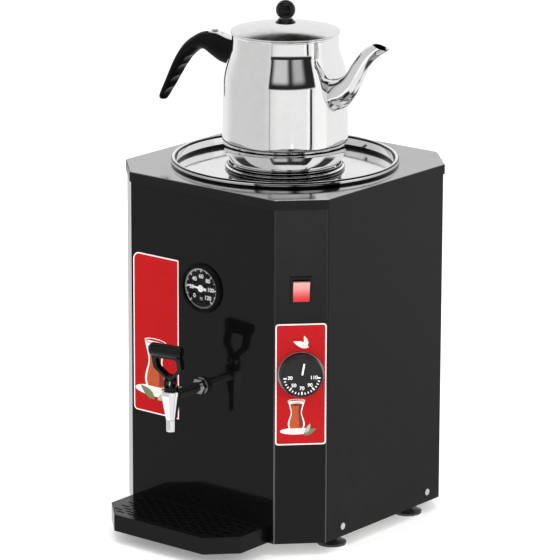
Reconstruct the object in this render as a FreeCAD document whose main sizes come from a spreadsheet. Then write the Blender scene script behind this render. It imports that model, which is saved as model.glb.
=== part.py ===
import FreeCAD, Part
import Sketcher
import math
import os
import re
from FreeCAD import Placement, Rotation, Vector

# Tea urn: a black sheet-metal casing with cut corners round a steel boiler, with a
# teapot kept warm on the boiler's lid, a tap and a drip tray in front, and the
# switch, thermostat and thermometer that run it.
# Frame: origin on the table under the middle of the casing, +X to the right of the
# front face, +Y to the back, +Z up. Millimetres.

# Driving sizes: name, value, meaning.
SIZES = [
    ("case_half_wide", 150.0, "half the casing's width"),
    ("case_half_deep", 151.7, "half the casing's depth"),
    ("corner_leg", 42.9, "leg of each cut upright corner"),
    ("foot_rise", 15.0, "table to the casing's underside"),
    ("case_tall", 408.0, "casing from its underside to the cap's top"),
    ("sheet", 1.2, "thickness of the painted sheet"),
    ("fold_gap", 0.2, "gap between two folded sheets"),
    ("seat_gap", 0.3, "gap left where one piece sits on another"),
    ("seam_flange", 14.0, "length of the side sheets' flanges behind the front corners"),
    ("back_lap", 8.0, "length of the side sheets' flanges behind the back sheet"),
    ("cap_skirt", 11.0, "height of the cap's skirt"),
    ("cap_over", 1.7, "how far the cap stands out past the casing"),
    ("top_thick", 1.0, "thickness of the steel top plate"),
    ("top_inset", 0.8, "top plate's edge inside the cap's edge"),
    ("base_flange", 20.0, "height of the base plate's upturned edge"),
    ("screw_radius", 1.9, "shank radius of the casing screws"),
    ("screw_head_radius", 4.0, "head radius of the casing screws"),
    ("screw_head_tall", 2.2, "head height of the casing screws"),
    ("screw_long", 7.0, "shank length of the casing screws"),
    ("screw_rise", 13.0, "casing underside to the lower screws"),
    ("side_screw_front", 80.0, "side screw in front of the middle"),
    ("side_screw_back", 83.0, "side screw behind the middle"),
    ("rear_screw_inset", 58.0, "rear screws in from the casing's sides"),
    ("vent_wide", 40.0, "width of a rear vent slot"),
    ("vent_tall", 4.0, "height of a rear vent slot"),
    ("vent_pitch", 10.0, "spacing of the rear vent slots"),
    ("vent_rise", 70.0, "casing underside to the lowest vent slot"),
    ("foot_inset", 20.0, "feet in from the casing's sides"),
    ("foot_ahead", 73.0, "feet ahead of and behind the middle"),
    ("foot_radius", 17.5, "radius of a foot's pad"),
    ("foot_crown_radius", 11.0, "radius of the pad's top"),
    ("foot_pad_tall", 4.0, "height of the pad's upright edge"),
    ("foot_crown_tall", 3.0, "height of the pad's sloping top"),
    ("foot_stud_radius", 4.0, "radius of a foot's stud"),
    ("foot_stud_long", 24.0, "stud above the casing's underside"),
    ("foot_hex_tall", 6.0, "height of the foot's hexagon collar"),
    ("foot_hex_flats", 14.0, "foot's hexagon across flats"),
    ("thread_gap", 0.05, "radial gap between a thread and its nut"),
    ("nut_flats", 13.0, "foot nut across flats"),
    ("nut_tall", 6.5, "foot nut's height"),
    ("boiler_room", 26.7, "casing's front face back to the boiler's wall"),
    ("tank_wall", 1.0, "boiler's wall"),
    ("tank_bend", 9.0, "outside radius round the boiler's bottom edge"),
    ("ledge_wide", 4.0, "width of the ledge under the boiler lid's edge"),
    ("rim_wide", 5.5, "width of the rolled rim"),
    ("rim_rise", 7.0, "top plate to the top of the rim"),
    ("rim_roll", 2.6, "radius of the rim's rolled edges"),
    ("rim_hole_gap", 1.3, "gap between the boiler's neck and the hole in the top"),
    ("lid_drop", 13.3, "rim's top down to the boiler lid"),
    ("lid_thick", 1.0, "boiler lid's thickness"),
    ("lid_gap", 0.4, "gap round the boiler lid"),
    ("steam_radius", 45.0, "steam opening under the teapot"),
    ("collar_radius", 70.0, "outside radius of the teapot's seat ring"),
    ("collar_tall", 7.0, "seat ring's height"),
    ("collar_step", 3.0, "height of the seat ring's lower step"),
    ("collar_step_radius", 67.0, "radius of the seat ring's upper part"),
    ("collar_bore", 65.6, "inside radius of the seat ring"),
    ("collar_slope", 1.0, "height of the slope between the seat ring's steps"),
    ("leg_inset", 19.0, "boiler legs in from the boiler's wall"),
    ("leg_wide", 20.0, "width of a boiler leg"),
    ("leg_thick", 2.0, "thickness of a boiler leg"),
    ("leg_foot", 14.0, "length of a boiler leg's foot"),
    ("leg_turn", 22.5, "turn of the boiler legs about the middle"),
    ("jacket_gap", 0.4, "gap between the boiler and its jacket"),
    ("jacket_thick", 7.5, "thickness of the heat jacket"),
    ("jacket_foot", 8.0, "boiler's underside up to the jacket"),
    ("jacket_head", 11.4, "boiler lid's ledge down to the jacket"),
    ("jacket_hole", 13.5, "radius of the jacket's hole for the outlet"),
    ("heater_radius", 4.2, "radius of the heating rod"),
    ("heater_loop", 80.0, "radius of the heating loop"),
    ("heater_rise", 18.0, "boiler's underside up to the heating loop"),
    ("heater_bend", 15.0, "radius of the bends into the heating loop"),
    ("heater_tail", 22.0, "heater terminals below the boiler"),
    ("heater_turn", 135.0, "where the heater's gap lies round the boiler"),
    ("heater_gap_half", 22.0, "half the heater's gap as an angle"),
    ("heater_nut_flats", 14.0, "heater nut across flats"),
    ("heater_nut_tall", 5.0, "heater nut's height"),
    ("gasket_thick", 1.5, "thickness of a heater gasket"),
    ("gasket_radius", 8.0, "radius of a heater gasket"),
    ("cutout_radius", 8.0, "radius of the overheat cut-out"),
    ("cutout_tall", 9.0, "height of the overheat cut-out"),
    ("tab_wide", 6.3, "width of a spade terminal"),
    ("tab_thick", 0.8, "thickness of a spade terminal"),
    ("tab_long", 8.0, "length of a spade terminal"),
    ("tap_rise", 171.0, "casing underside to the tap's shank"),
    ("tap_reach", 55.5, "front face to the tap's upright axis"),
    ("shank_radius", 6.5, "radius of the tap's shank"),
    ("shank_bore", 4.0, "bore of the tap's shank"),
    ("shank_gap", 0.1, "gap round the shank where it passes a bore"),
    ("shank_hole_gap", 0.6, "gap round the shank in the front panel"),
    ("outlet_radius", 12.0, "radius of the boiler's outlet boss"),
    ("outlet_rise", 21.0, "boiler's underside up to the middle of its outlet"),
    ("outlet_depth", 14.0, "front face back to the outlet boss"),
    ("locknut_flats", 17.0, "tap nuts across flats"),
    ("locknut_tall", 6.0, "height of a tap nut"),
    ("washer_radius", 10.0, "radius of the tap's washer"),
    ("washer_thick", 1.5, "thickness of the tap's washer"),
    ("seal_ring_thick", 2.0, "thickness of the outlet's seal ring"),
    ("tap_top_radius", 11.5, "radius of the tap body at its top"),
    ("tap_waist_radius", 6.2, "radius of the tap body at its foot"),
    ("tap_top_rise", 7.0, "shank axis up to the tap body's top"),
    ("tap_lip", 5.0, "height of the tap body's upright edge"),
    ("tap_waist_drop", 28.0, "shank axis down to the tap body's foot"),
    ("tap_bore", 7.0, "radius of the tap's valve chamber"),
    ("tap_seat_drop", 6.0, "shank axis down to the valve seat"),
    ("nozzle_radius", 5.85, "radius of the nozzle"),
    ("nozzle_bore", 3.6, "bore of the nozzle"),
    ("nozzle_drop", 42.2, "shank axis down to the nozzle's mouth"),
    ("nozzle_plug", 6.0, "length of the nozzle's neck inside the tap body"),
    ("nozzle_plug_radius", 4.8, "radius of the nozzle's neck"),
    ("bonnet_radius", 8.6, "radius of the tap's black bonnet"),
    ("bonnet_tall", 5.0, "height of the bonnet above the tap body"),
    ("bonnet_plug", 2.0, "bonnet's length inside the tap body"),
    ("pivot_lift", 5.0, "bonnet's top up to the lever's pin"),
    ("pin_radius", 1.5, "radius of the lever's pin"),
    ("pin_gap", 0.05, "running gap round the lever's pin"),
    ("lever_turn", 9.0, "turn of the lever about the tap's upright axis"),
    ("lever_lean", 15.0, "forward lean of the lever at rest"),
    ("lever_thick", 8.0, "thickness of the lever's arms"),
    ("cheek_half_wide", 5.6, "half the width across the lever's cheeks"),
    ("cheek_gap", 0.3, "gap beside and below a lever cheek"),
    ("lever_swing", 30.0, "how far the lever is drawn forward"),
    ("bar_rise", 41.0, "lever's pin to the middle of its bar"),
    ("bar_half_long", 21.0, "half the length of the lever's bar"),
    ("bar_radius", 7.8, "radius of the lever's bar"),
    ("loop_half_wide", 19.0, "half the width across the lever's arms"),
    ("loop_open_half", 13.5, "half the width of the lever's opening"),
    ("loop_open_foot", 8.8, "pin up to the foot of the lever's opening"),
    ("loop_foot_half", 3.0, "half the width of the opening's foot"),
    ("loop_bend", 18.0, "pin up to the bend of the lever's arms"),
    ("loop_web", 2.0, "web round the lever's opening"),
    ("cheek_deep", 4.0, "pin to a lever cheek's front and back edges"),
    ("cheek_drop", 4.3, "pin down to the foot of a lever cheek"),
    ("pin_head_over", 0.9, "how far the pin's heads reach past its radius"),
    ("pin_head_tall", 0.9, "height of the pin's heads"),
    ("stem_radius", 2.2, "radius of the valve stem"),
    ("stem_gap", 0.1, "gap round the valve stem"),
    ("stem_half_wide", 2.4, "half the width of the stem's flat head"),
    ("stem_half_deep", 3.2, "half the depth of the stem's flat head"),
    ("stem_travel", 3.0, "lift of the valve stem"),
    ("stem_head_over", 3.5, "stem's head above the pin"),
    ("seal_radius", 6.0, "radius of the valve seal"),
    ("seal_tall", 4.0, "height of the valve seal"),
    ("spring_wire", 0.4, "radius of the valve spring's wire"),
    ("spring_radius", 4.4, "mean radius of the valve spring"),
    ("spring_turns", 3.0, "turns of the valve spring"),
    ("gauge_rise", 287.5, "casing underside to the thermometer's middle"),
    ("gauge_radius", 29.5, "radius of the thermometer's bezel"),
    ("gauge_bore", 25.4, "inside radius of the bezel"),
    ("gauge_lip", 24.4, "radius inside the bezel's front lip"),
    ("gauge_proud", 5.0, "how far the bezel stands out"),
    ("gauge_slope", 1.5, "width of the bezel's sloping edge"),
    ("gauge_lip_thick", 0.6, "thickness of the bezel's front lip"),
    ("gauge_case_radius", 26.0, "radius of the thermometer's case"),
    ("gauge_case_wall", 0.8, "wall of the thermometer's case"),
    ("gauge_case_deep", 13.0, "depth of the case behind the face"),
    ("gauge_hole_gap", 0.4, "gap round the case in the front panel"),
    ("dial_thick", 0.8, "thickness of the dial"),
    ("dial_out", 0.6, "back of the dial in front of the face"),
    ("pointer_long", 20.0, "length of the pointer"),
    ("pointer_hub", 3.8, "radius of the pointer's hub"),
    ("pointer_thick", 0.6, "thickness of the pointer"),
    ("pointer_out", 0.5, "dial up to the back of the pointer"),
    ("pointer_tail", 6.0, "length of the pointer behind its hub"),
    ("pointer_tail_half", 1.3, "half the pointer's width at its tail"),
    ("pointer_tip_half", 0.6, "half the pointer's width at its tip"),
    ("pointer_lean", 86.0, "turn of the pointer at rest, left of upright"),
    ("arbor_radius", 1.0, "radius of the pointer's arbor"),
    ("glass_thick", 1.2, "thickness of the thermometer's glass"),
    ("bulb_radius", 3.6, "radius of a sensing bulb"),
    ("bulb_long", 48.0, "length of a sensing bulb"),
    ("capillary_radius", 1.1, "radius of a capillary"),
    ("capillary_bend", 12.0, "bend radius of a capillary"),
    ("gauge_line_side", 15.0, "thermometer's capillary right of the middle"),
    ("line_behind", 7.5, "front face back to the thermometer's capillary"),
    ("switch_rise", 302.8, "casing underside to the switch's middle"),
    ("switch_half_wide", 12.5, "half the switch bezel's width"),
    ("switch_half_tall", 15.75, "half the switch bezel's height"),
    ("switch_proud", 2.2, "thickness of the switch's bezel"),
    ("switch_body_inset", 2.0, "switch body inside its bezel's edge"),
    ("switch_deep", 20.0, "depth of the switch's body"),
    ("rocker_half_wide", 9.4, "half the rocker's width"),
    ("rocker_half_tall", 12.0, "half the rocker's height"),
    ("rocker_gap", 0.4, "gap beside the rocker"),
    ("rocker_sweep", 1.1, "gap above and below the rocker for its swing"),
    ("rocker_tilt", 10.0, "tilt of the rocker at rest"),
    ("rocker_pivot", 1.0, "front corner face back to the rocker's pivot"),
    ("rocker_dish", 2.0, "depth of the rocker's dished face"),
    ("rocker_deep", 5.5, "pivot back to the rocker's inner edge"),
    ("rocker_root", 3.0, "half the height of the rocker's inner edge"),
    ("rocker_pin_radius", 1.2, "radius of the rocker's pivot pins"),
    ("rocker_pin_over", 0.9, "how far a pivot pin stands out of the rocker"),
    ("switch_pin_pitch", 7.0, "spacing of the switch's terminals"),
    ("plaque_rise", 191.6, "casing underside to the control plate's middle"),
    ("plaque_edge", 0.9, "control plate's sides in from the corner's folds"),
    ("plaque_half_tall", 72.1, "half the control plate's height"),
    ("plaque_thick", 0.8, "thickness of the control plate"),
    ("plaque_round", 4.0, "corner radius of the control plate"),
    ("knob_rise", 204.0, "casing underside to the knob's middle"),
    ("knob_radius", 24.8, "radius of the knob"),
    ("knob_face_radius", 22.6, "radius of the knob's flat face"),
    ("knob_tall", 10.0, "height of the knob"),
    ("knob_gap", 0.4, "gap behind the knob"),
    ("ring_radius", 26.8, "outside radius of the chrome ring"),
    ("ring_bore", 22.0, "inside radius of the chrome ring"),
    ("ring_thick", 1.6, "thickness of the chrome ring"),
    ("shaft_radius", 3.0, "radius of the thermostat's shaft"),
    ("shaft_gap", 0.08, "running gap round the thermostat's shaft"),
    ("shaft_hole", 5.0, "radius of the shaft's hole in the casing"),
    ("shaft_in", 10.0, "shaft's length inside the thermostat"),
    ("stat_half_wide", 15.4, "half the thermostat's width"),
    ("stat_half_tall", 20.0, "half the thermostat's height"),
    ("stat_deep", 28.0, "depth of the thermostat"),
    ("stat_screw_side", 11.0, "thermostat screws each side of the shaft"),
    ("stat_screw_radius", 1.9, "radius of the thermostat's screws"),
    ("stat_screw_head", 3.4, "head radius of the thermostat's screws"),
    ("stat_screw_head_tall", 1.8, "head height of the thermostat's screws"),
    ("stat_screw_long", 8.0, "shank length of the thermostat's screws"),
    ("label_edge", 3.1, "fold of the front face in to the printed panel"),
    ("label_gap", 5.5, "printed panel to the thermometer's bezel"),
    ("label_rise", 218.5, "casing underside to the printed panel's middle"),
    ("label_half_tall", 96.0, "half the printed panel's height"),
    ("label_thick", 0.4, "thickness of the printed panel"),
    ("label_round", 5.0, "corner radius of the printed panel"),
    ("tray_half_wide", 98.0, "half the drip tray's width"),
    ("tray_deep", 79.6, "depth of the drip tray"),
    ("tray_corner", 31.0, "leg of the drip tray's cut corners"),
    ("tray_tall", 20.0, "height of the drip tray"),
    ("tray_ledge", 4.0, "width of the ledge under the grate"),
    ("grate_thick", 1.0, "thickness of the grate"),
    ("grate_gap", 0.4, "gap round the grate"),
    ("slot_long", 12.0, "length of a drain slot"),
    ("slot_wide", 3.0, "width of a drain slot"),
    ("slot_pitch", 17.0, "spacing of the drain slots along a row"),
    ("slot_row", 13.0, "spacing of two like rows of drain slots"),
    ("slot_front", 12.0, "tray's front to the first row of drain slots"),
    ("tongue_side", 60.0, "tray tongues each side of the middle"),
    ("tongue_half_wide", 10.0, "half a tray tongue's width"),
    ("tongue_thick", 2.0, "thickness of a tray tongue"),
    ("tongue_long", 26.0, "length of a tray tongue inside the casing"),
    ("tongue_gap", 0.3, "gap round a tray tongue in its slot"),
    ("gland_inset", 60.0, "cable entry in from the casing's left side"),
    ("gland_rise", 32.0, "casing underside to the cable entry"),
    ("gland_bore", 3.9, "bore of the cable entry"),
    ("gland_radius", 9.0, "radius of the cable entry's flange"),
    ("gland_neck", 6.5, "radius of the cable entry's neck"),
    ("gland_proud", 9.0, "how far the cable entry stands out"),
    ("gland_in", 10.0, "cable entry's length inside the casing"),
    ("block_wide", 36.0, "width of the terminal block"),
    ("block_deep", 22.0, "depth of the terminal block"),
    ("block_tall", 18.0, "height of the terminal block"),
    ("block_back", 42.0, "casing's back to the terminal block's front"),
    ("block_well", 3.0, "radius of the terminal block's wells"),
    ("gland_lip", 3.0, "height of the cable entry's upright edge"),
    ("gland_snap", 0.5, "how far the cable entry's catch swells"),
    ("pot_wall", 0.9, "wall of the teapot"),
    ("pot_foot_radius", 50.0, "radius of the teapot's flat bottom"),
    ("pot_belly_radius", 73.7, "radius of the teapot's belly"),
    ("pot_belly_rise", 40.0, "teapot's bottom up to its belly"),
    ("pot_shoulder_radius", 72.7, "radius where the shoulder starts"),
    ("pot_shoulder_rise", 100.0, "teapot's bottom up to its shoulder"),
    ("pot_neck_radius", 62.0, "radius of the teapot's neck"),
    ("pot_neck_rise", 141.0, "teapot's bottom up to its neck"),
    ("pot_neck_slope", 0.32, "inward slope of the shoulder at the neck"),
    ("pot_neck_draw", 0.8, "how much the neck narrows up to the rim"),
    ("pot_tall", 161.0, "teapot's bottom up to its rim"),
    ("pot_bead", 1.5, "radius of the bead round the teapot's rim"),
    ("strainer_radius", 2.2, "radius of a strainer hole"),
    ("strainer_pitch", 6.5, "spacing of the strainer holes"),
    ("strainer_rise", 90.0, "teapot's bottom up to the strainer"),
    ("cover_radius", 64.0, "radius of the teapot's lid"),
    ("cover_dome", 8.5, "rise of the lid's dome"),
    ("cover_wall", 0.8, "thickness of the teapot's lid"),
    ("cover_edge", 1.4, "height of the lid's edge"),
    ("cover_plug_gap", 0.5, "gap between the lid's collar and the neck"),
    ("cover_plug_long", 8.0, "length of the lid's collar"),
    ("button_foot_radius", 11.8, "radius of the lid knob's foot"),
    ("button_foot_tall", 1.2, "height of the lid knob's foot"),
    ("button_waist_radius", 7.2, "radius of the lid knob's waist"),
    ("button_waist_rise", 7.4, "foot up to the lid knob's waist"),
    ("button_radius", 11.5, "radius of the lid knob's ball"),
    ("button_rise", 15.5, "foot up to the middle of the ball"),
    ("button_screw_radius", 2.0, "radius of the lid knob's screw"),
    ("button_screw_long", 12.0, "lid knob screw inside the knob"),
    ("button_screw_head", 4.0, "head radius of the lid knob's screw"),
    ("button_screw_head_tall", 2.2, "head height of the lid knob's screw"),
    ("grip_screw_radius", 2.0, "radius of the handle's screw"),
    ("grip_screw_long", 14.0, "handle screw inside the handle"),
    ("grip_root_gap", 2.4, "pot's side out to the handle's grip"),
    ("finger_radius", 18.0, "radius of the finger hollows under the grip"),
    ("bracket_thick", 1.5, "thickness of the handle's bracket"),
    ("bracket_wide", 11.0, "width of the handle's bracket"),
]

# Sizes that follow from the driving ones: name, formula, meaning.
FOLLOWING = [
    ("tank_lift", "tap_rise - outlet_rise", "casing underside to the boiler's underside"),
    ("tank_bore", "case_half_deep - boiler_room - tank_wall", "boiler's inside radius"),
    ("rim_bore", "tank_bore + ledge_wide", "radius inside the boiler's rim"),
    ("rim_radius", "rim_bore + rim_wide", "outside radius of the rolled rim"),
    ("leg_reach", "tank_bore - leg_inset", "boiler legs from the middle"),
    ("ledge_rise", "case_tall + top_thick + rim_rise - lid_drop - lid_thick - seat_gap",
     "casing underside to the ledge"),
    ("jacket_tall", "ledge_rise - tank_lift - jacket_foot - jacket_head", "height of the heat jacket"),
    ("foot_side", "case_half_wide - foot_inset", "feet each side of the middle"),
    ("rear_screw_side", "case_half_wide - rear_screw_inset", "rear screws each side of the middle"),
    ("gland_side", "case_half_wide - gland_inset", "cable entry left of the middle"),
    ("plaque_half_wide", "corner_leg / sqrt(2) - plaque_edge", "half the control plate's width"),
    ("front_half_flat", "case_half_wide - corner_leg", "half the front face between its folds"),
    ("label_left", "front_half_flat - label_edge", "printed panel's left side from the middle"),
    ("label_right", "gauge_radius + label_gap", "printed panel's right side from the middle"),
    ("label_middle", "-(label_left + label_right) / 2", "printed panel's middle"),
    ("label_half_wide", "(label_left - label_right) / 2", "half the printed panel's width"),
]

ALIASES = {name for name, value, meaning in SIZES + FOLLOWING}

# Heights and places that several pieces share, as expressions of the sizes.
CASE_TOP = "(foot_rise + case_tall)"
PLATE_TOP = "(foot_rise + case_tall + top_thick)"
RIM_TOP = "(foot_rise + case_tall + top_thick + rim_rise)"
LID_TOP = "(foot_rise + case_tall + top_thick + rim_rise - lid_drop)"
LEDGE = "(foot_rise + ledge_rise)"
TANK_FLOOR = "(foot_rise + tank_lift)"
TAP_AXIS_Y = "-(case_half_deep + tap_reach)"
TAP_Z = "(foot_rise + tap_rise)"
TAP_TOP = "(foot_rise + tap_rise + tap_top_rise)"
PIVOT_Z = "(foot_rise + tap_rise + tap_top_rise + bonnet_tall + pivot_lift)"
CORNER_MIDDLE = "((case_half_wide - case_half_deep) / sqrt(2))"
TANK_OUTER = "(tank_bore + tank_wall)"
RIM_HOLE = "(rim_bore + tank_wall + rim_hole_gap)"

FRONT = Rotation(Vector(1, 0, 0), 90)
CORNER = Rotation(Vector(0, 0, 1), 45).multiply(FRONT)
BACK = Rotation(Vector(0, 0, 1), 180).multiply(FRONT)
SIDEWAYS = Rotation(Vector(0, 1, 0), 90)

doc = FreeCAD.newDocument("TeaUrn")
sheet = doc.addObject("Spreadsheet::Sheet", "Sizes")
for row, (name, value, meaning) in enumerate(SIZES + FOLLOWING, start=1):
    sheet.set("A%d" % row, name)
    sheet.set("B%d" % row, "=" + value if isinstance(value, str) else str(value))
    sheet.setAlias("B%d" % row, name)
    sheet.set("C%d" % row, meaning)
doc.recompute()

subparts = []


def size(name):
    """A driving size as a number, for the shapes that are set in code."""
    return float(sheet.get(name))


def linked(text):
    """An expression with each size's name pointed at the sheet."""
    return re.sub(r"[a-z_]+", lambda m: "Sizes." + m.group(0) if m.group(0) in ALIASES else m.group(0), text)


def bind(thing, prop, text):
    thing.setExpression(prop, linked(text))


def keep(thing, name):
    """Give a finished sub-part its name and put it on the list to be written."""
    thing.Label = name
    subparts.append(thing)
    return thing


def place(thing, x="0", y="0", z="0", turn=None):
    """Move a piece to x, y, z, and turn it first if asked."""
    if turn is not None:
        thing.Placement = Placement(Vector(0, 0, 0), turn)
    bind(thing, "Placement.Base.x", x)
    bind(thing, "Placement.Base.y", y)
    bind(thing, "Placement.Base.z", z)
    return thing


def on_front(thing, x, z, out="0"):
    """Seat a piece on the front face: its own Z points out of the face."""
    return place(thing, x, "-(case_half_deep + (%s))" % out, z, FRONT)


def on_corner(thing, z, out="0"):
    """Seat a piece on the middle of the front right corner face."""
    across = "(case_half_wide - corner_leg / 2 + (%s) / sqrt(2))" % out
    ahead = "-(case_half_deep - corner_leg / 2 + (%s) / sqrt(2))" % out
    return place(thing, across, ahead, z, CORNER)


def solid(kind, name, **sizes):
    """A Part primitive whose sizes follow the sheet."""
    thing = doc.addObject("Part::" + kind, name)
    for prop, text in sizes.items():
        bind(thing, prop, text)
    return thing


def cylinder(name, radius, tall):
    return solid("Cylinder", name, Radius=radius, Height=tall)


def box(name, half_wide, half_tall, deep, back="0"):
    """A block about its own Z axis, from back to back + deep."""
    thing = solid("Box", name, Length="2 * (%s)" % half_wide, Width="2 * (%s)" % half_tall, Height=deep)
    return place(thing, "-(%s)" % half_wide, "-(%s)" % half_tall, back)


def hexagon(name, flats, tall):
    thing = doc.addObject("Part::Prism", name)
    thing.Polygon = 6
    bind(thing, "Circumradius", "(%s) / sqrt(3)" % flats)
    bind(thing, "Height", tall)
    return thing


def fuse(name, *pieces):
    thing = doc.addObject("Part::MultiFuse", name)
    thing.Shapes = list(pieces)
    return thing


def group(name, *pieces):
    """Like pieces that share a node and stay separate solids."""
    thing = doc.addObject("Part::Compound", name)
    thing.Links = list(pieces)
    return thing


def cut(name, base, *tools):
    tool = tools[0] if len(tools) == 1 else fuse(name + "_tools", *tools)
    thing = doc.addObject("Part::Cut", name)
    thing.Base = base
    thing.Tool = tool
    return thing


def tube(name, radius, bore, tall):
    """A ring or tube standing on its own origin."""
    inner = cylinder(name + "_bore", bore, "(%s) + 2" % tall)
    place(inner, z="-1")
    return cut(name, cylinder(name + "_outer", radius, tall), inner)


def new_body(name):
    return doc.addObject("PartDesign::Body", name)


def new_sketch(body, plane, lift="0", turn=0):
    """A sketch on one of the body's own planes, lifted along its normal."""
    flat = [f for f in body.Origin.OriginFeatures if f.Role == plane][0]
    sk = body.newObject("Sketcher::SketchObject", body.Name + "_sketch")
    sk.AttachmentSupport = [(flat, "")]
    sk.MapMode = "FlatFace"
    sk.AttachmentOffset = Placement(Vector(0, 0, 0), Rotation(Vector(0, 1, 0), turn))
    bind(sk, "AttachmentOffset.Base.z", lift)
    return sk


def fix(sk, kind, index, corner, guess, text):
    """One driven measure of a sketch."""
    number = sk.addConstraint(Sketcher.Constraint(kind, index, corner, guess))
    label = "m%d" % number
    sk.renameConstraint(number, label)
    bind(sk, "Constraints." + label, text)


def polygon(sk, points):
    """A closed outline whose corners are all tied to the sheet."""
    first = sk.GeometryCount
    count = len(points)
    turn = 2 * math.pi / count
    start = [Vector(10 * math.cos(turn * k), 10 * math.sin(turn * k), 0) for k in range(count)]
    for k in range(count):
        sk.addGeometry(Part.LineSegment(start[k], start[(k + 1) % count]), False)
    joined = [
        Sketcher.Constraint("Coincident", first + k, 2, first + (k + 1) % count, 1) for k in range(count)
    ]
    sk.addConstraint(joined)
    for k, (across, along) in enumerate(points):
        fix(sk, "DistanceX", first + k, 1, start[k].x, across)
        fix(sk, "DistanceY", first + k, 1, start[k].y, along)


def rectangle(sk, x, y, half_wide, half_tall):
    low_x, high_x = "(%s) - (%s)" % (x, half_wide), "(%s) + (%s)" % (x, half_wide)
    low_y, high_y = "(%s) - (%s)" % (y, half_tall), "(%s) + (%s)" % (y, half_tall)
    polygon(sk, [(low_x, low_y), (high_x, low_y), (high_x, high_y), (low_x, high_y)])


def circle(sk, x, y, radius):
    index = sk.addGeometry(Part.Circle(Vector(1, 1, 0), Vector(0, 0, 1), 5), False)
    number = sk.addConstraint(Sketcher.Constraint("Radius", index, 5))
    sk.renameConstraint(number, "m%d" % number)
    bind(sk, "Constraints.m%d" % number, radius)
    fix(sk, "DistanceX", index, 3, 1, x)
    fix(sk, "DistanceY", index, 3, 1, y)


def pad(body, sk, length, both=False):
    feature = body.newObject("PartDesign::Pad", body.Name + "_pad")
    feature.Profile = sk
    if both:
        feature.SideType = "Symmetric"
    bind(feature, "Length", length)
    body.Tip = feature
    return feature


def pocket(body, sk, length=None, forward=False, both=False):
    """Cut a sketch away: behind its plane, before it if forward, or both ways."""
    feature = body.newObject("PartDesign::Pocket", body.Name + "_pocket")
    feature.Profile = sk
    feature.Reversed = forward
    if both:
        feature.SideType = "Symmetric"
    if length is None:
        feature.Type = "ThroughAll"
    else:
        bind(feature, "Length", length)
    body.Tip = feature
    doc.recompute()
    if feature.Shape.Volume > feature.BaseFeature.Shape.Volume - 1e-6:
        raise RuntimeError(body.Name + ": a pocket cut nothing")
    return feature


def turned(name, points):
    """A piece turned about its own Z axis from an outline of radius and height."""
    body = new_body(name)
    sk = new_sketch(body, "XZ_Plane")
    polygon(sk, points)
    feature = body.newObject("PartDesign::Revolution", name + "_turn")
    feature.Profile = sk
    feature.ReferenceAxis = (sk, ["V_Axis"])
    feature.Angle = 360
    body.Tip = feature
    return body


def round_rims(body, radius, rims):
    """Round the circular edges whose radius and height are given in rims."""
    doc.recompute()
    base = body.Tip
    names = []
    for number, edge in enumerate(base.Shape.Edges, start=1):
        if not isinstance(edge.Curve, Part.Circle):
            continue
        for rim, height in rims:
            same = abs(edge.Curve.Radius - rim) < 0.01 and abs(edge.Curve.Center.z - height) < 0.01
            if same:
                names.append("Edge%d" % number)
    feature = body.newObject("PartDesign::Fillet", body.Name + "_round")
    feature.Base = (base, names)
    bind(feature, "Radius", radius)
    body.Tip = feature
    return feature


def minus(text):
    return "-(%s)" % text


def case_outline(side, front_corner, back_corner):
    """The casing's eight corners, moved in by the given amounts."""
    points = []
    corners = ((1, -1, front_corner), (1, 1, back_corner), (-1, 1, back_corner), (-1, -1, front_corner))
    for number, (sign_x, sign_y, corner) in enumerate(corners):
        flat_x = "(case_half_wide - corner_leg - (%s) * sqrt(2) + (%s))" % (corner, side)
        flat_y = "(case_half_deep - (%s))" % side
        side_x = "(case_half_wide - (%s))" % side
        side_y = "(case_half_deep - corner_leg - (%s) * sqrt(2) + (%s))" % (corner, side)
        pair = [(flat_x, flat_y), (side_x, side_y)]
        if number % 2:
            pair.reverse()
        for across, along in pair:
            points.append((across if sign_x > 0 else minus(across), along if sign_y > 0 else minus(along)))
    return points


# Casing
SHELL_TALL = "case_tall - sheet - fold_gap"


def front_shell():
    """Front panel and its two cut corners, folded from one sheet."""
    body = new_body("front_shell")
    sk = new_sketch(body, "XY_Plane", "foot_rise")
    side_y = "(case_half_deep - corner_leg)"
    end_x = "(case_half_wide - sheet / sqrt(2))"
    end_y = "(%s - sheet / sqrt(2))" % side_y
    bend_x = "(case_half_wide - corner_leg - sheet * (sqrt(2) - 1))"
    outer_x = "(case_half_wide - corner_leg)"
    polygon(sk, [
        ("case_half_wide", minus(side_y)), (outer_x, "-case_half_deep"),
        (minus(outer_x), "-case_half_deep"), ("-case_half_wide", minus(side_y)),
        (minus(end_x), minus(end_y)), (minus(bend_x), "-(case_half_deep - sheet)"),
        (bend_x, "-(case_half_deep - sheet)"), (end_x, minus(end_y)),
    ])
    pad(body, sk, SHELL_TALL)
    holes = new_sketch(body, "XZ_Plane")
    circle(holes, "0", TAP_Z, "shank_radius + shank_hole_gap")
    circle(holes, "0", "foot_rise + gauge_rise", "gauge_case_radius + gauge_hole_gap")
    for side in ("tongue_side", "-tongue_side"):
        rectangle(holes, side, TONGUE_MIDDLE, "tongue_half_wide + tongue_gap", "tongue_thick / 2 + tongue_gap")
    pocket(body, holes, forward=True)
    corner = new_sketch(body, "XZ_Plane", turn=45)
    body_wide = "switch_half_wide - switch_body_inset + seat_gap"
    body_tall = "switch_half_tall - switch_body_inset + seat_gap"
    rectangle(corner, CORNER_MIDDLE, "foot_rise + switch_rise", body_wide, body_tall)
    circle(corner, CORNER_MIDDLE, "foot_rise + knob_rise", "shaft_hole")
    for side in ("+ stat_screw_side", "- stat_screw_side"):
        circle(corner, CORNER_MIDDLE + side, "foot_rise + knob_rise", "stat_screw_radius + thread_gap")
    pocket(body, corner, forward=True)
    return keep(body, "front_shell")


TONGUE_MIDDLE = "(foot_rise + sheet + seat_gap + tongue_thick / 2)"


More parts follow.
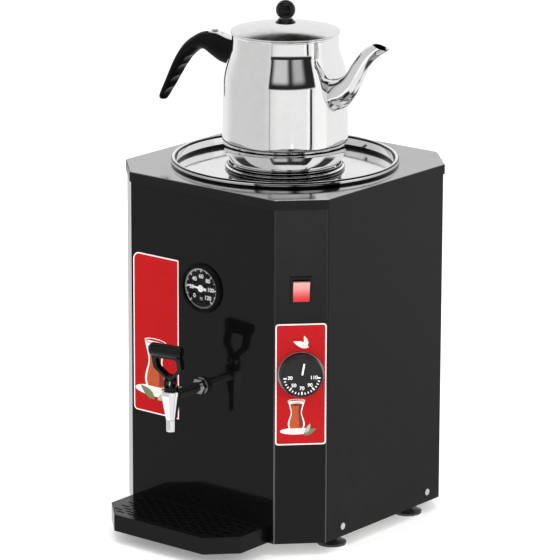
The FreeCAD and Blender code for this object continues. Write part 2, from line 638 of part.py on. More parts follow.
def side_sheet(name, sign):
    """Side and rear corner folded from one sheet, with a flange at each end."""
    def outline(points):
        return [(x, y) if sign > 0 else (minus(x), y) for x, y in points]

    body = new_body(name)
    seam_y = "-(case_half_deep - corner_leg) + (sheet + fold_gap) * sqrt(2)"
    run = "seam_flange / sqrt(2)"
    inner_y = "-(case_half_deep - corner_leg) - sheet + (2 * sheet + fold_gap) * sqrt(2)"
    bend = "sheet * (sqrt(2) - 1)"
    behind = "(case_half_deep - sheet - fold_gap)"
    end_x = "(case_half_wide - corner_leg + sheet + fold_gap)"
    end = [(end_x, behind), ("(%s - %s)" % (end_x, bend), behind + " - sheet")]
    sk = new_sketch(body, "XY_Plane", "foot_rise")
    polygon(sk, outline([
        ("(case_half_wide - %s - sheet / sqrt(2))" % run, seam_y + " - %s + sheet / sqrt(2)" % run),
        ("(case_half_wide - %s)" % run, seam_y + " - " + run),
        ("case_half_wide", seam_y),
        ("case_half_wide", "case_half_deep - corner_leg"),
        *end,
        ("(case_half_wide - sheet)", "case_half_deep - corner_leg - " + bend),
        ("(case_half_wide - sheet)", inner_y),
    ]))
    pad(body, sk, SHELL_TALL)
    lap = new_sketch(body, "XY_Plane", "foot_rise + base_flange + fold_gap")
    tip_x = "(%s - back_lap)" % end_x
    polygon(lap, outline(end + [(tip_x, behind + " - sheet"), (tip_x, behind)]))
    pad(body, lap, SHELL_TALL + " - base_flange - fold_gap")
    holes = new_sketch(body, "YZ_Plane")
    for along in ("-side_screw_front", "side_screw_back"):
        circle(holes, along, "foot_rise + screw_rise", "screw_radius + shank_gap")
    pocket(body, holes, both=True)
    return body


def back_sheet():
    """Flat sheet over the side sheets' rear flanges, with the vents and the cable hole."""
    body = new_body("back_sheet")
    half = "(case_half_wide - corner_leg)"
    sk = new_sketch(body, "XY_Plane", "foot_rise")
    polygon(sk, [
        (half, "case_half_deep - sheet"), (half, "case_half_deep"),
        (minus(half), "case_half_deep"), (minus(half), "case_half_deep - sheet"),
    ])
    pad(body, sk, SHELL_TALL)
    holes = new_sketch(body, "XZ_Plane")
    circle(holes, "-gland_side", "foot_rise + gland_rise", "gland_neck + seat_gap")
    for side in ("rear_screw_side", "-rear_screw_side"):
        circle(holes, side, "foot_rise + screw_rise", "screw_radius + shank_gap")
    for number in range(5):
        height = "foot_rise + vent_rise + %d * vent_pitch" % number
        rectangle(holes, "0", height, "vent_wide / 2", "vent_tall / 2")
    pocket(body, holes)
    return body


def rear_shell():
    """Two side sheets and the back sheet."""
    sheets = [side_sheet("right_sheet", 1), side_sheet("left_sheet", -1), back_sheet()]
    return keep(group("rear_shell", *sheets), "rear_shell")


def base_plate():
    """Floor of the casing with an upturned edge that the shells are screwed to."""
    body = new_body("base_plate")
    side = "sheet + seat_gap"
    front = "2 * sheet + fold_gap + seat_gap"
    floor = new_sketch(body, "XY_Plane", "foot_rise")
    polygon(floor, case_outline(side, front, side))
    for across in ("foot_side", "-foot_side"):
        for along in ("foot_ahead", "-foot_ahead"):
            circle(floor, across, along, "foot_stud_radius + seat_gap")
    pad(body, floor, "sheet")
    edge = new_sketch(body, "XY_Plane", "foot_rise")
    polygon(edge, case_outline(side, front, side))
    polygon(edge, case_outline(side + " + sheet", front + " + sheet", side + " + sheet"))
    pad(body, edge, "base_flange")
    ahead = new_sketch(body, "XZ_Plane")
    for across in ("tongue_side", "-tongue_side"):
        rectangle(ahead, across, TONGUE_MIDDLE, "tongue_half_wide + tongue_gap", "tongue_thick / 2 + tongue_gap")
    pocket(body, ahead, forward=True)
    back = new_sketch(body, "XZ_Plane")
    for across in ("rear_screw_side", "-rear_screw_side"):
        circle(back, across, "foot_rise + screw_rise", "screw_radius + thread_gap")
    pocket(body, back)
    sides = new_sketch(body, "YZ_Plane")
    for along in ("-side_screw_front", "side_screw_back"):
        circle(sides, along, "foot_rise + screw_rise", "screw_radius + thread_gap")
    pocket(body, sides, both=True)
    return keep(body, "base_plate")


def cap_frame():
    """Black frame that closes the casing's top, with a skirt down over the shells."""
    body = new_body("cap_frame")
    over = "-cap_over"
    flat = new_sketch(body, "XY_Plane", CASE_TOP + " - sheet")
    polygon(flat, case_outline(over, over, over))
    circle(flat, "0", "0", RIM_HOLE)
    pad(body, flat, "sheet")
    skirt = new_sketch(body, "XY_Plane", CASE_TOP + " - cap_skirt")
    polygon(skirt, case_outline(over, over, over))
    inner = "sheet - cap_over"
    polygon(skirt, case_outline(inner, inner, inner))
    pad(body, skirt, "cap_skirt")
    return keep(body, "cap_frame")


def top_plate():
    """Polished steel plate on the cap, round the boiler's rim."""
    body = new_body("top_plate")
    sk = new_sketch(body, "XY_Plane", CASE_TOP)
    edge = "top_inset - cap_over"
    polygon(sk, case_outline(edge, edge, edge))
    circle(sk, "0", "0", RIM_HOLE)
    pad(body, sk, "top_thick")
    return keep(body, "top_plate")


def screw(name, radius, head_radius, head_tall, long):
    """Screw along its own Z axis: head above the origin's plane, shank below."""
    head = cylinder(name + "_head", head_radius, head_tall)
    shank = place(cylinder(name + "_shank", radius, long), z=minus(long))
    return fuse(name, head, shank)


def case_screws():
    """Six screws that hold the side and back sheets to the base plate."""
    screws = []
    spots = []
    for sign in (1, -1):
        turn = Rotation(Vector(0, 1, 0), 90 * sign)
        across = "case_half_wide" if sign > 0 else "-case_half_wide"
        for along in ("-side_screw_front", "side_screw_back"):
            spots.append((across, along, turn))
    for across in ("rear_screw_side", "-rear_screw_side"):
        spots.append((across, "case_half_deep", BACK))
    for number, (across, along, turn) in enumerate(spots, start=1):
        piece = screw("case_screw_%d" % number, "screw_radius", "screw_head_radius", "screw_head_tall", "screw_long")
        screws.append(place(piece, across, along, "foot_rise + screw_rise", turn))
    return keep(group("case_screws", *screws), "case_screws")


def feet():
    """Four screw feet, each with a pad, a hexagon collar and a stud, and their nuts."""
    spots = [(x, y) for y in ("-foot_ahead", "foot_ahead") for x in ("foot_side", "-foot_side")]
    nuts = []
    for number, (across, along) in enumerate(spots, start=1):
        name = "foot_%d" % number
        edge = cylinder(name + "_edge", "foot_radius", "foot_pad_tall")
        crown = solid("Cone", name + "_crown", Radius1="foot_radius", Radius2="foot_crown_radius",
                      Height="foot_crown_tall")
        place(crown, z="foot_pad_tall")
        stud = cylinder(name + "_stud", "foot_stud_radius", "foot_rise + foot_stud_long - foot_pad_tall")
        place(stud, z="foot_pad_tall")
        collar = place(hexagon(name + "_collar", "foot_hex_flats", "foot_hex_tall"), z="foot_rise - foot_hex_tall")
        keep(place(fuse(name, edge, crown, stud, collar), across, along), name)
        nut = cut("foot_nut_%d" % number, hexagon("nut_%d" % number, "nut_flats", "nut_tall"),
                  place(cylinder("nut_bore_%d" % number, "foot_stud_radius + thread_gap", "nut_tall + 2"), z="-1"))
        nuts.append(place(nut, across, along, "foot_rise + sheet"))
    keep(group("foot_nuts", *nuts), "foot_nuts")


# Boiler

def boiler_tank():
    """Steel boiler with a ledge for its lid and a rolled rim that rests on the top plate."""
    outer = TANK_OUTER
    neck = "(rim_bore + tank_wall)"
    body = turned("boiler_tank", [
        ("0", TANK_FLOOR), (outer, TANK_FLOOR), (outer, LEDGE + " - tank_wall"),
        (neck, LEDGE + " - tank_wall"), (neck, RIM_TOP + " - tank_wall"),
        ("rim_radius - tank_wall", RIM_TOP + " - tank_wall"), ("rim_radius - tank_wall", PLATE_TOP),
        ("rim_radius", PLATE_TOP), ("rim_radius", RIM_TOP), ("rim_bore", RIM_TOP),
        ("rim_bore", LEDGE), ("tank_bore", LEDGE), ("tank_bore", TANK_FLOOR + " + tank_wall"),
        ("0", TANK_FLOOR + " + tank_wall"),
    ])
    top = sum(size(n) for n in ("foot_rise", "case_tall", "top_thick", "rim_rise"))
    floor = size("foot_rise") + size("tank_lift")
    wall = size("tank_wall")
    round_rims(body, "rim_roll", [(size("rim_radius"), top), (size("rim_bore"), top)])
    round_rims(body, "rim_roll - tank_wall", [
        (size("rim_radius") - wall, top - wall), (size("rim_bore") + wall, top - wall)])
    round_rims(body, "tank_bend", [(size("tank_bore") + wall, floor)])
    round_rims(body, "tank_bend - tank_wall", [(size("tank_bore"), floor + wall)])
    tap_hole = new_sketch(body, "XZ_Plane")
    circle(tap_hole, "0", TAP_Z, "shank_radius + shank_gap")
    pocket(body, tap_hole, forward=True)
    floor_holes = new_sketch(body, "XY_Plane", TANK_FLOOR + " + tank_bend / 2")
    for across, along in heater_feet():
        circle(floor_holes, across, along, "heater_radius + shank_gap")
    pocket(body, floor_holes, "tank_bend")
    return keep(body, "boiler_tank")


def heater_feet():
    """Places of the heater's two upright legs, as expressions."""
    feet_at = []
    for sign in ("+", "-"):
        angle = "((heater_turn %s heater_gap_half) * 1deg)" % sign
        back = "+" if sign == "+" else "-"
        across = "heater_loop * cos(%s) %s heater_bend * sin(%s)" % (angle, back, angle)
        along = "heater_loop * sin(%s) %s heater_bend * cos(%s)" % (angle, "-" if sign == "+" else "+", angle)
        feet_at.append((across, along))
    return feet_at


def heater_element():
    """Heating rod: up through the floor, once round the boiler, and down again."""
    loop = size("heater_loop")
    bend = size("heater_bend")
    level = size("foot_rise") + size("tank_lift") + size("heater_rise")
    low = size("foot_rise") + size("tank_lift") - size("heater_tail")
    turn = math.radians(size("heater_turn"))
    gap = math.radians(size("heater_gap_half"))

    def on_loop(angle):
        return Vector(loop * math.cos(angle), loop * math.sin(angle), level)

    def ahead(angle):
        return Vector(-math.sin(angle), math.cos(angle), 0)

    first, last = turn + gap, turn - gap + 2 * math.pi
    start, end = on_loop(first), on_loop(last)
    up, down = start - ahead(first) * bend, end + ahead(last) * bend
    down_of = Vector(0, 0, -bend)
    rise_mid = up + ahead(first) * bend * (1 - math.cos(math.pi / 4)) + down_of * (1 - math.sin(math.pi / 4))
    fall_mid = down - ahead(last) * bend * (1 - math.cos(math.pi / 4)) + down_of * (1 - math.sin(math.pi / 4))
    corner_up, corner_down = up + down_of, down + down_of
    middle = (first + last) / 2
    edges = [
        Part.LineSegment(Vector(corner_up.x, corner_up.y, low), corner_up).toShape(),
        Part.Arc(corner_up, rise_mid, start).toShape(),
        Part.Arc(start, on_loop((first + middle) / 2), on_loop(middle)).toShape(),
        Part.Arc(on_loop(middle), on_loop((middle + last) / 2), end).toShape(),
        Part.Arc(end, fall_mid, corner_down).toShape(),
        Part.LineSegment(corner_down, Vector(corner_down.x, corner_down.y, low)).toShape(),
    ]
    path = Part.Wire(edges)
    ring = Part.Wire([Part.Circle(Vector(corner_up.x, corner_up.y, low), Vector(0, 0, 1),
                                  size("heater_radius")).toShape()])
    rod = doc.addObject("Part::Feature", "heater_element")
    rod.Shape = path.makePipeShell([ring], True, False)
    return keep(rod, "heater_element")


def heater_fixings():
    """A gasket inside and a nut below the boiler's floor on each leg of the heater."""
    nuts, gaskets = [], []
    for number, (across, along) in enumerate(heater_feet(), start=1):
        bore = "heater_radius + thread_gap"
        nut = cut("heater_nut_%d" % number, hexagon("heater_hex_%d" % number, "heater_nut_flats", "heater_nut_tall"),
                  place(cylinder("heater_nut_bore_%d" % number, bore, "heater_nut_tall + 2"), z="-1"))
        nuts.append(place(nut, across, along, TANK_FLOOR + " - heater_nut_tall"))
        gasket = tube("gasket_%d" % number, "gasket_radius", bore, "gasket_thick")
        gaskets.append(place(gasket, across, along, TANK_FLOOR + " + tank_wall"))
    keep(group("heater_nuts", *nuts), "heater_nuts")
    keep(group("heater_gaskets", *gaskets), "heater_gaskets")


def boiler_legs():
    """Four sheet legs that carry the boiler off the base plate."""
    tall = "tank_lift - sheet"
    legs = []
    for number in range(4):
        name = "boiler_leg_%d" % (number + 1)
        upright = solid("Box", name + "_upright", Length="leg_thick", Width="leg_wide", Height=tall)
        place(upright, "leg_reach - leg_thick / 2", "-leg_wide / 2", "foot_rise + sheet")
        ends = []
        for height in ("foot_rise + sheet", TANK_FLOOR + " - leg_thick"):
            end = solid("Box", name + "_end_%d" % len(ends), Length="leg_foot", Width="leg_wide", Height="leg_thick")
            ends.append(place(end, "leg_reach - leg_thick / 2", "-leg_wide / 2", height))
        leg = fuse(name, upright, *ends)
        bind(leg, "Placement.Rotation.Angle", "leg_turn + %d" % (90 * number))
        legs.append(leg)
    return keep(group("boiler_legs", *legs), "boiler_legs")


def heat_jacket():
    """Felt jacket round the boiler, with a hole for the outlet."""
    inside = TANK_OUTER + " + jacket_gap"
    ring = tube("jacket_ring", inside + " + jacket_thick", inside, "jacket_tall")
    place(ring, z=TANK_FLOOR + " + jacket_foot")
    hole = on_front(cylinder("jacket_hole_tool", "jacket_hole", "case_half_deep"), "0", TAP_Z, "-case_half_deep")
    return keep(cut("heat_jacket", ring, hole), "heat_jacket")


def overheat_cutout():
    """Disc thermostat that cuts the heater off, held under the boiler's floor."""
    cap = place(cylinder("cutout_cap", "cutout_radius", "cutout_tall"), z=TANK_FLOOR + " - cutout_tall - seat_gap")
    blades = [cap]
    for number, across in enumerate(("-cutout_radius / 2", "cutout_radius / 2")):
        blade = solid("Box", "cutout_blade_%d" % number,
                      Length="tab_thick", Width="tab_wide", Height="tab_long + 1")
        under = TANK_FLOOR + " - cutout_tall - seat_gap - tab_long"
        blades.append(place(blade, across + " - tab_thick / 2", "-tab_wide / 2", under))
    return keep(fuse("overheat_cutout", *blades), "overheat_cutout")


def boiler_lid():
    """Steel lid inside the rim, open to the steam under the teapot, and its seat ring."""
    plate = place(tube("boiler_lid", "rim_bore - lid_gap", "steam_radius", "lid_thick"), z=LID_TOP + " - lid_thick")
    keep(plate, "boiler_lid")
    ring = turned("teapot_collar", [
        ("collar_bore", "0"), ("collar_radius", "0"), ("collar_radius", "collar_step"),
        ("collar_step_radius", "collar_step + collar_slope"), ("collar_step_radius", "collar_tall"),
        ("collar_bore", "collar_tall"),
    ])
    keep(place(ring, z=LID_TOP), "teapot_collar")


# Tap

def boiler_outlet():
    """Boss welded to the boiler's wall for the tap's shank."""
    long = "case_half_deep - outlet_depth - tank_bore + 3"
    outer = place(cylinder("outlet_outer", "outlet_radius", long), "0", "-(tank_bore - 3)", TAP_Z, FRONT)
    bore = cylinder("outlet_bore", "shank_radius + shank_gap", long + " + 4")
    place(bore, "0", "-(tank_bore - 5)", TAP_Z, FRONT)
    wall = cylinder("outlet_wall", TANK_OUTER, RIM_TOP)
    return keep(cut("boiler_outlet", outer, bore, wall), "boiler_outlet")


def tap_body():
    """Chrome tap: a tapering upright body and the shank that runs back into the boiler."""
    cone = turned("tap_cone", [
        ("0", "-tap_waist_drop"), ("tap_waist_radius", "-tap_waist_drop"),
        ("tap_top_radius", "tap_top_rise - tap_lip"), ("tap_top_radius", "tap_top_rise"), ("0", "tap_top_rise"),
    ])
    place(cone, "0", TAP_AXIS_Y, TAP_Z)
    long = "tap_reach + case_half_deep - tank_bore"
    shank = place(cylinder("tap_shank", "shank_radius", long), "0", "-tank_bore", TAP_Z, FRONT)
    chamber = place(cylinder("tap_chamber", "tap_bore", "tap_top_rise + tap_seat_drop"),
                    "0", TAP_AXIS_Y, TAP_Z + " - tap_seat_drop")
    drain = cylinder("tap_drain", "nozzle_bore", "tap_waist_drop")
    place(drain, "0", TAP_AXIS_Y, TAP_Z + " - tap_waist_drop")
    socket = place(cylinder("tap_socket", "nozzle_plug_radius + thread_gap", "nozzle_plug"),
                   "0", TAP_AXIS_Y, TAP_Z + " - tap_waist_drop")
    water = place(cylinder("tap_water_way", "shank_bore", long), "0", "-tank_bore", TAP_Z, FRONT)
    return keep(cut("tap_body", fuse("tap_solid", cone, shank), chamber, drain, socket, water), "tap_body")


def tap_nozzle():
    """Nozzle screwed up into the tap body."""
    nozzle = turned("tap_nozzle", [
        ("nozzle_bore", "-nozzle_drop"), ("nozzle_radius", "-nozzle_drop"),
        ("nozzle_radius", "-tap_waist_drop"), ("nozzle_plug_radius", "-tap_waist_drop"),
        ("nozzle_plug_radius", "nozzle_plug - tap_waist_drop"), ("nozzle_bore", "nozzle_plug - tap_waist_drop"),
    ])
    return keep(place(nozzle, "0", TAP_AXIS_Y, TAP_Z), "tap_nozzle")


def tap_fixings():
    """Washer and nut on the front panel, and a nut and seal ring against the outlet boss."""
    bore = "shank_radius + thread_gap"
    washer = on_front(tube("tap_washer", "washer_radius", bore, "washer_thick"), "0", TAP_Z)
    keep(washer, "tap_washer")
    seal = tube("tap_seal_ring", "outlet_radius", bore, "seal_ring_thick")
    keep(on_front(seal, "0", TAP_Z, "-outlet_depth"), "tap_seal_ring")
    nuts = []
    for number, out in enumerate(("washer_thick", "seal_ring_thick - outlet_depth"), start=1):
        nut = cut("tap_nut_%d" % number, hexagon("tap_hex_%d" % number, "locknut_flats", "locknut_tall"),
                  place(cylinder("tap_nut_bore_%d" % number, bore, "locknut_tall + 2"), z="-1"))
        nuts.append(on_front(nut, "0", TAP_Z, out))
    keep(group("tap_nuts", *nuts), "tap_nuts")


def turned_with_lever(thing, z):
    """Stand a piece on the tap's upright axis, turned with the lever."""
    place(thing, "0", TAP_AXIS_Y, z)
    bind(thing, "Placement.Rotation.Angle", "lever_turn")
    return thing


def tap_bonnet():
    """Black bonnet screwed into the tap body, bored for the stem."""
    cap = cylinder("bonnet_cap", "bonnet_radius", "bonnet_tall")
    plug = place(cylinder("bonnet_plug_solid", "tap_bore - thread_gap", "bonnet_plug"), z="-bonnet_plug")
    bore = cylinder("bonnet_bore", "stem_radius + stem_gap", "bonnet_tall + bonnet_plug + 2")
    place(bore, z="-bonnet_plug - 1")
    bonnet = cut("tap_bonnet", fuse("bonnet_solid", cap, plug), bore)
    return keep(place(bonnet, "0", TAP_AXIS_Y, TAP_TOP), "tap_bonnet")


def tap_stem():
    """Valve stem whose flat head carries the lever's pin."""
    foot = "-(tap_top_rise + tap_seat_drop - seal_tall)"
    above = "bonnet_tall + pivot_lift + stem_head_over"
    rod = place(cylinder("stem_rod", "stem_radius", above + " - 1 - (%s)" % foot), z=foot)
    head = box("stem_head", "stem_half_wide", "stem_half_deep", "pivot_lift + stem_head_over - cheek_gap",
               "bonnet_tall + cheek_gap")
    hole = cylinder("stem_pin_hole", "pin_radius + thread_gap", "4 * stem_half_wide")
    place(hole, "-2 * stem_half_wide", "0", "bonnet_tall + pivot_lift", SIDEWAYS)
    stem = cut("tap_stem", fuse("stem_solid", rod, head), hole)
    return keep(turned_with_lever(stem, TAP_TOP), "tap_stem")


def tap_seal():
    """Soft seal on the stem's foot that closes the seat."""
    seal = cylinder("tap_seal", "seal_radius", "seal_tall - seat_gap")
    return keep(place(seal, "0", TAP_AXIS_Y, TAP_Z + " - tap_seat_drop + seat_gap / 2"), "tap_seal")


def tap_spring():
    """Coil spring round the stem that shuts the valve."""
    wire = size("spring_wire")
    radius = size("spring_radius")
    low = size("foot_rise") + size("tap_rise") - size("tap_seat_drop") + size("seal_tall") + wire
    high = size("foot_rise") + size("tap_rise") + size("tap_top_rise") - size("bonnet_plug") - wire
    pitch = (high - low) / size("spring_turns")
    path = Part.makeHelix(pitch, high - low, radius)
    slope = math.atan2(pitch, 2 * math.pi * radius)
    start = Vector(radius, 0, 0)
    ring = Part.Wire([Part.Circle(start, Vector(0, math.cos(slope), math.sin(slope)), wire).toShape()])
    coil = Part.Wire(path.Edges).makePipeShell([ring], True, True)
    spring = doc.addObject("Part::Feature", "tap_spring")
    spring.Shape = coil
    spring.Placement = Placement(Vector(0, -(size("case_half_deep") + size("tap_reach")), low), Rotation())
    return keep(spring, "tap_spring")


def toe(height_at_rest):
    """Where the lever's toe lies: it stands on the bonnet at rest and lifts the pin by
    the stem's travel when the lever is drawn fully forward."""
    rest = math.radians(size("lever_lean"))
    swing = math.radians(size("lever_swing"))
    lifted = height_at_rest + size("stem_travel")
    ahead = (lifted * math.cos(swing) - height_at_rest) / math.sin(swing)
    reach = math.hypot(lifted, ahead)
    angle = rest + swing + math.atan2(ahead, lifted)
    return -reach * math.sin(angle), -reach * math.cos(angle)


def tap_lever():
    """Black loop lever: two cheeks on the pin, two spreading arms and a round bar."""
    body = new_body("lever_arms")
    sk = new_sketch(body, "XZ_Plane")
    polygon(sk, [
        ("-cheek_half_wide", "loop_web"), ("cheek_half_wide", "loop_web"),
        ("cheek_half_wide", "loop_open_foot - loop_web"),
        ("loop_half_wide", "loop_bend"), ("loop_half_wide", "bar_rise"),
        ("-loop_half_wide", "bar_rise"), ("-loop_half_wide", "loop_bend"),
        ("-cheek_half_wide", "loop_open_foot - loop_web"),
    ])
    pad(body, sk, "lever_thick", both=True)
    opening = new_sketch(body, "XZ_Plane")
    polygon(opening, [
        ("-loop_foot_half", "loop_open_foot"), ("loop_foot_half", "loop_open_foot"),
        ("loop_open_half", "loop_bend + loop_web / 2"),
        ("loop_open_half", "bar_rise - bar_radius - loop_web / 2"),
        ("-loop_open_half", "bar_rise - bar_radius - loop_web / 2"),
        ("-loop_open_half", "loop_bend + loop_web / 2"),
    ])
    pocket(body, opening, both=True)
    straight = "(bar_half_long - bar_radius / 2)"
    bar = place(cylinder("lever_bar", "bar_radius", "2 * " + straight), "-" + straight, "0", "bar_rise", SIDEWAYS)
    ends = []
    for number, across in enumerate((straight, "-" + straight)):
        end = solid("Ellipsoid", "lever_end_%d" % number, Radius1="bar_radius / 2", Radius2="bar_radius")
        ends.append(place(end, across, "0", "bar_rise", SIDEWAYS))
    toe_y, toe_z = toe(size("pivot_lift") - size("cheek_gap"))
    half = size("cheek_half_wide")
    deep = size("cheek_deep")
    drop = size("cheek_drop")
    top = size("loop_open_foot") - 2 * size("loop_web")
    # A cheek's outline from its back edge, round below the pin and out to the toe.
    profile = [
        (deep, top), (deep, -0.35 * drop), (deep / 2, -0.84 * drop), (-0.3 * deep, -drop),
        (toe_y, toe_z), (toe_y + 0.15 * deep, toe_z + 0.6 * drop), (-deep, top),
    ]
    wire = Part.makePolygon([Vector(-half, y, z) for y, z in profile + profile[:1]])
    cheeks = doc.addObject("Part::Feature", "lever_cheeks")
    cheeks.Shape = Part.Face(wire).extrude(Vector(2 * half, 0, 0))
    room = solid("Box", "lever_room", Length="2 * (stem_half_wide + cheek_gap)", Width="5 * lever_thick",
                 Height="pivot_lift + loop_open_foot - loop_web")
    place(room, "-(stem_half_wide + cheek_gap)", "-2.5 * lever_thick", "-pivot_lift - 1")
    hole = cylinder("lever_pin_hole", "pin_radius + pin_gap", "4 * cheek_half_wide")
    place(hole, "-2 * cheek_half_wide", "0", "0", SIDEWAYS)
    lever = cut("tap_lever", fuse("lever_solid", body, bar, cheeks, *ends), room, hole)
    lean = Rotation(Vector(0, 0, 1), size("lever_turn")).multiply(Rotation(Vector(1, 0, 0), size("lever_lean")))
    keep(place(lever, "0", TAP_AXIS_Y, PIVOT_Z, lean), "tap_lever")


def lever_pin():
    """Pin fixed in the stem's head, with a low head outside each cheek."""
    half = "(cheek_half_wide + seat_gap)"
    pieces = [place(cylinder("lever_pin_rod", "pin_radius", "2 * " + half), "-" + half, "0", "0", SIDEWAYS)]
    for number, across in enumerate((half + " - 0.1", "-%s - pin_head_tall" % half)):
        head = cylinder("lever_pin_head_%d" % number, "pin_radius + pin_head_over", "pin_head_tall + 0.1")
        pieces.append(place(head, across, "0", "0", SIDEWAYS))
    return keep(turned_with_lever(fuse("lever_pin", *pieces), PIVOT_Z), "lever_pin")


# Thermometer

def thermometer():
    """Case, bezel, dial, pointer and glass, built outwards from the front face."""
    height = "foot_rise + gauge_rise"
    case = turned("gauge_case", [
        ("0", "-gauge_case_deep"), ("gauge_case_radius", "-gauge_case_deep"), ("gauge_case_radius", "dial_out"),
        ("gauge_case_radius - gauge_case_wall", "dial_out"),
        ("gauge_case_radius - gauge_case_wall", "gauge_case_wall - gauge_case_deep"),
        ("0", "gauge_case_wall - gauge_case_deep"),
    ])
    keep(on_front(case, "0", height), "gauge_case")
    bezel = turned("gauge_bezel", [
        ("gauge_case_radius + seat_gap", "0"), ("gauge_radius", "0"), ("gauge_radius", "gauge_proud / 2"),
        ("gauge_radius - gauge_slope", "gauge_proud"), ("gauge_lip", "gauge_proud"),
        ("gauge_lip", "gauge_proud - gauge_lip_thick"), ("gauge_bore", "gauge_proud - gauge_lip_thick"),
        ("gauge_bore", "dial_out + dial_thick / 2"), ("gauge_case_radius + seat_gap", "dial_out + dial_thick / 2"),
    ])
    keep(on_front(bezel, "0", height), "gauge_bezel")
    dial = tube("gauge_dial", "gauge_bore - 0.2", "arbor_radius + 0.3", "dial_thick")
    keep(on_front(dial, "0", height, "dial_out"), "gauge_dial")
    hub = cylinder("pointer_hub_disc", "pointer_hub", "pointer_thick * 2")
    body = new_body("pointer_blade")
    sk = new_sketch(body, "XY_Plane")
    polygon(sk, [
        ("-pointer_tail_half", "-pointer_tail"), ("pointer_tail_half", "-pointer_tail"),
        ("pointer_tip_half", "pointer_long"), ("-pointer_tip_half", "pointer_long"),
    ])
    pad(body, sk, "pointer_thick")
    arbor = place(cylinder("pointer_arbor", "arbor_radius", "gauge_case_deep / 2 + dial_out + dial_thick + 1"),
                  z="-(gauge_case_deep / 2 + dial_out + dial_thick)")
    pointer = fuse("gauge_pointer", hub, body, arbor)
    turn = FRONT.multiply(Rotation(Vector(0, 0, 1), size("pointer_lean")))
    place(pointer, "0", "-(case_half_deep + dial_out + dial_thick + pointer_out)", height, turn)
    keep(pointer, "gauge_pointer")
    glass = cylinder("gauge_glass", "gauge_bore - 0.2", "glass_thick")
    keep(on_front(glass, "0", height, "gauge_proud - gauge_lip_thick - glass_thick"), "gauge_glass")


def bent_tube(points, radius, bend):
    """A tube along straight runs joined by tangent arcs of one bend radius."""
    edges = []
    last = points[0]
    for before, corner, after in zip(points, points[1:], points[2:]):
        into = (corner - before).normalize()
        out = (after - corner).normalize()
        half = into.getAngle(out) / 2
        back = bend * math.tan(half)
        entry, leave = corner - into * back, corner + out * back
        inward = (out - into).normalize()
        middle = corner + inward * (bend / math.cos(half) - bend)
        edges.append(Part.LineSegment(last, entry).toShape())
        edges.append(Part.Arc(entry, middle, leave).toShape())
        last = leave
    edges.append(Part.LineSegment(last, points[-1]).toShape())
    ring = Part.Wire([Part.Circle(points[0], points[1] - points[0], radius).toShape()])
    return Part.Wire(edges).makePipeShell([ring], True, False)


def rod(start, end, radius):
    return Part.makeCylinder(radius, (end - start).Length, start, end - start)


def probes():
    """Sensing bulbs under the boiler's floor with the capillaries that lead to them."""
    thin = size("capillary_radius")
    thick = size("bulb_radius")
    bend = size("capillary_bend")
    rise = size("foot_rise")
    bulb_z = rise + size("tank_lift") - size("seat_gap") - thick
    side = size("gauge_line_side")
    line_y = -(size("case_half_deep") - size("line_behind"))
    case_edge = math.sqrt(size("gauge_case_radius") ** 2 - side ** 2)
    top = rise + size("gauge_rise") - case_edge - size("seat_gap")
    start = Vector(side, line_y, top - thin)
    bulb_y = -(size("tank_bore") - 2 * size("tank_bend"))
    points = [start, Vector(side, line_y, bulb_z), Vector(side, bulb_y, bulb_z)]
    bulb_end = Vector(side, bulb_y + size("bulb_long"), bulb_z)
    probe = doc.addObject("Part::Feature", "gauge_probe")
    probe.Shape = bent_tube(points, thin, bend).fuse(rod(points[-1], bulb_end, thick))
    keep(probe, "gauge_probe")

    out = Vector(1, -1, 0).normalize()
    behind = size("sheet") + size("seat_gap") + size("stat_deep") / 2
    half_leg = size("corner_leg") / 2
    middle = Vector(size("case_half_wide") - half_leg, -(size("case_half_deep") - half_leg), 0)
    under = middle - out * behind
    stat_foot = rise + size("knob_rise") - size("stat_half_tall") - size("seat_gap")
    inner = out * (size("tank_bore") - 2 * size("tank_bend"))
    points = [
        Vector(under.x, under.y, stat_foot),
        Vector(under.x, under.y, bulb_z),
        Vector(inner.x, inner.y, bulb_z),
    ]
    bulb_end = Vector(inner.x, inner.y, bulb_z) - out * size("bulb_long")
    probe = doc.addObject("Part::Feature", "thermostat_probe")
    probe.Shape = bent_tube(points, thin, bend).fuse(rod(points[-1], bulb_end, thick))
    keep(probe, "thermostat_probe")


# Controls on the front right corner

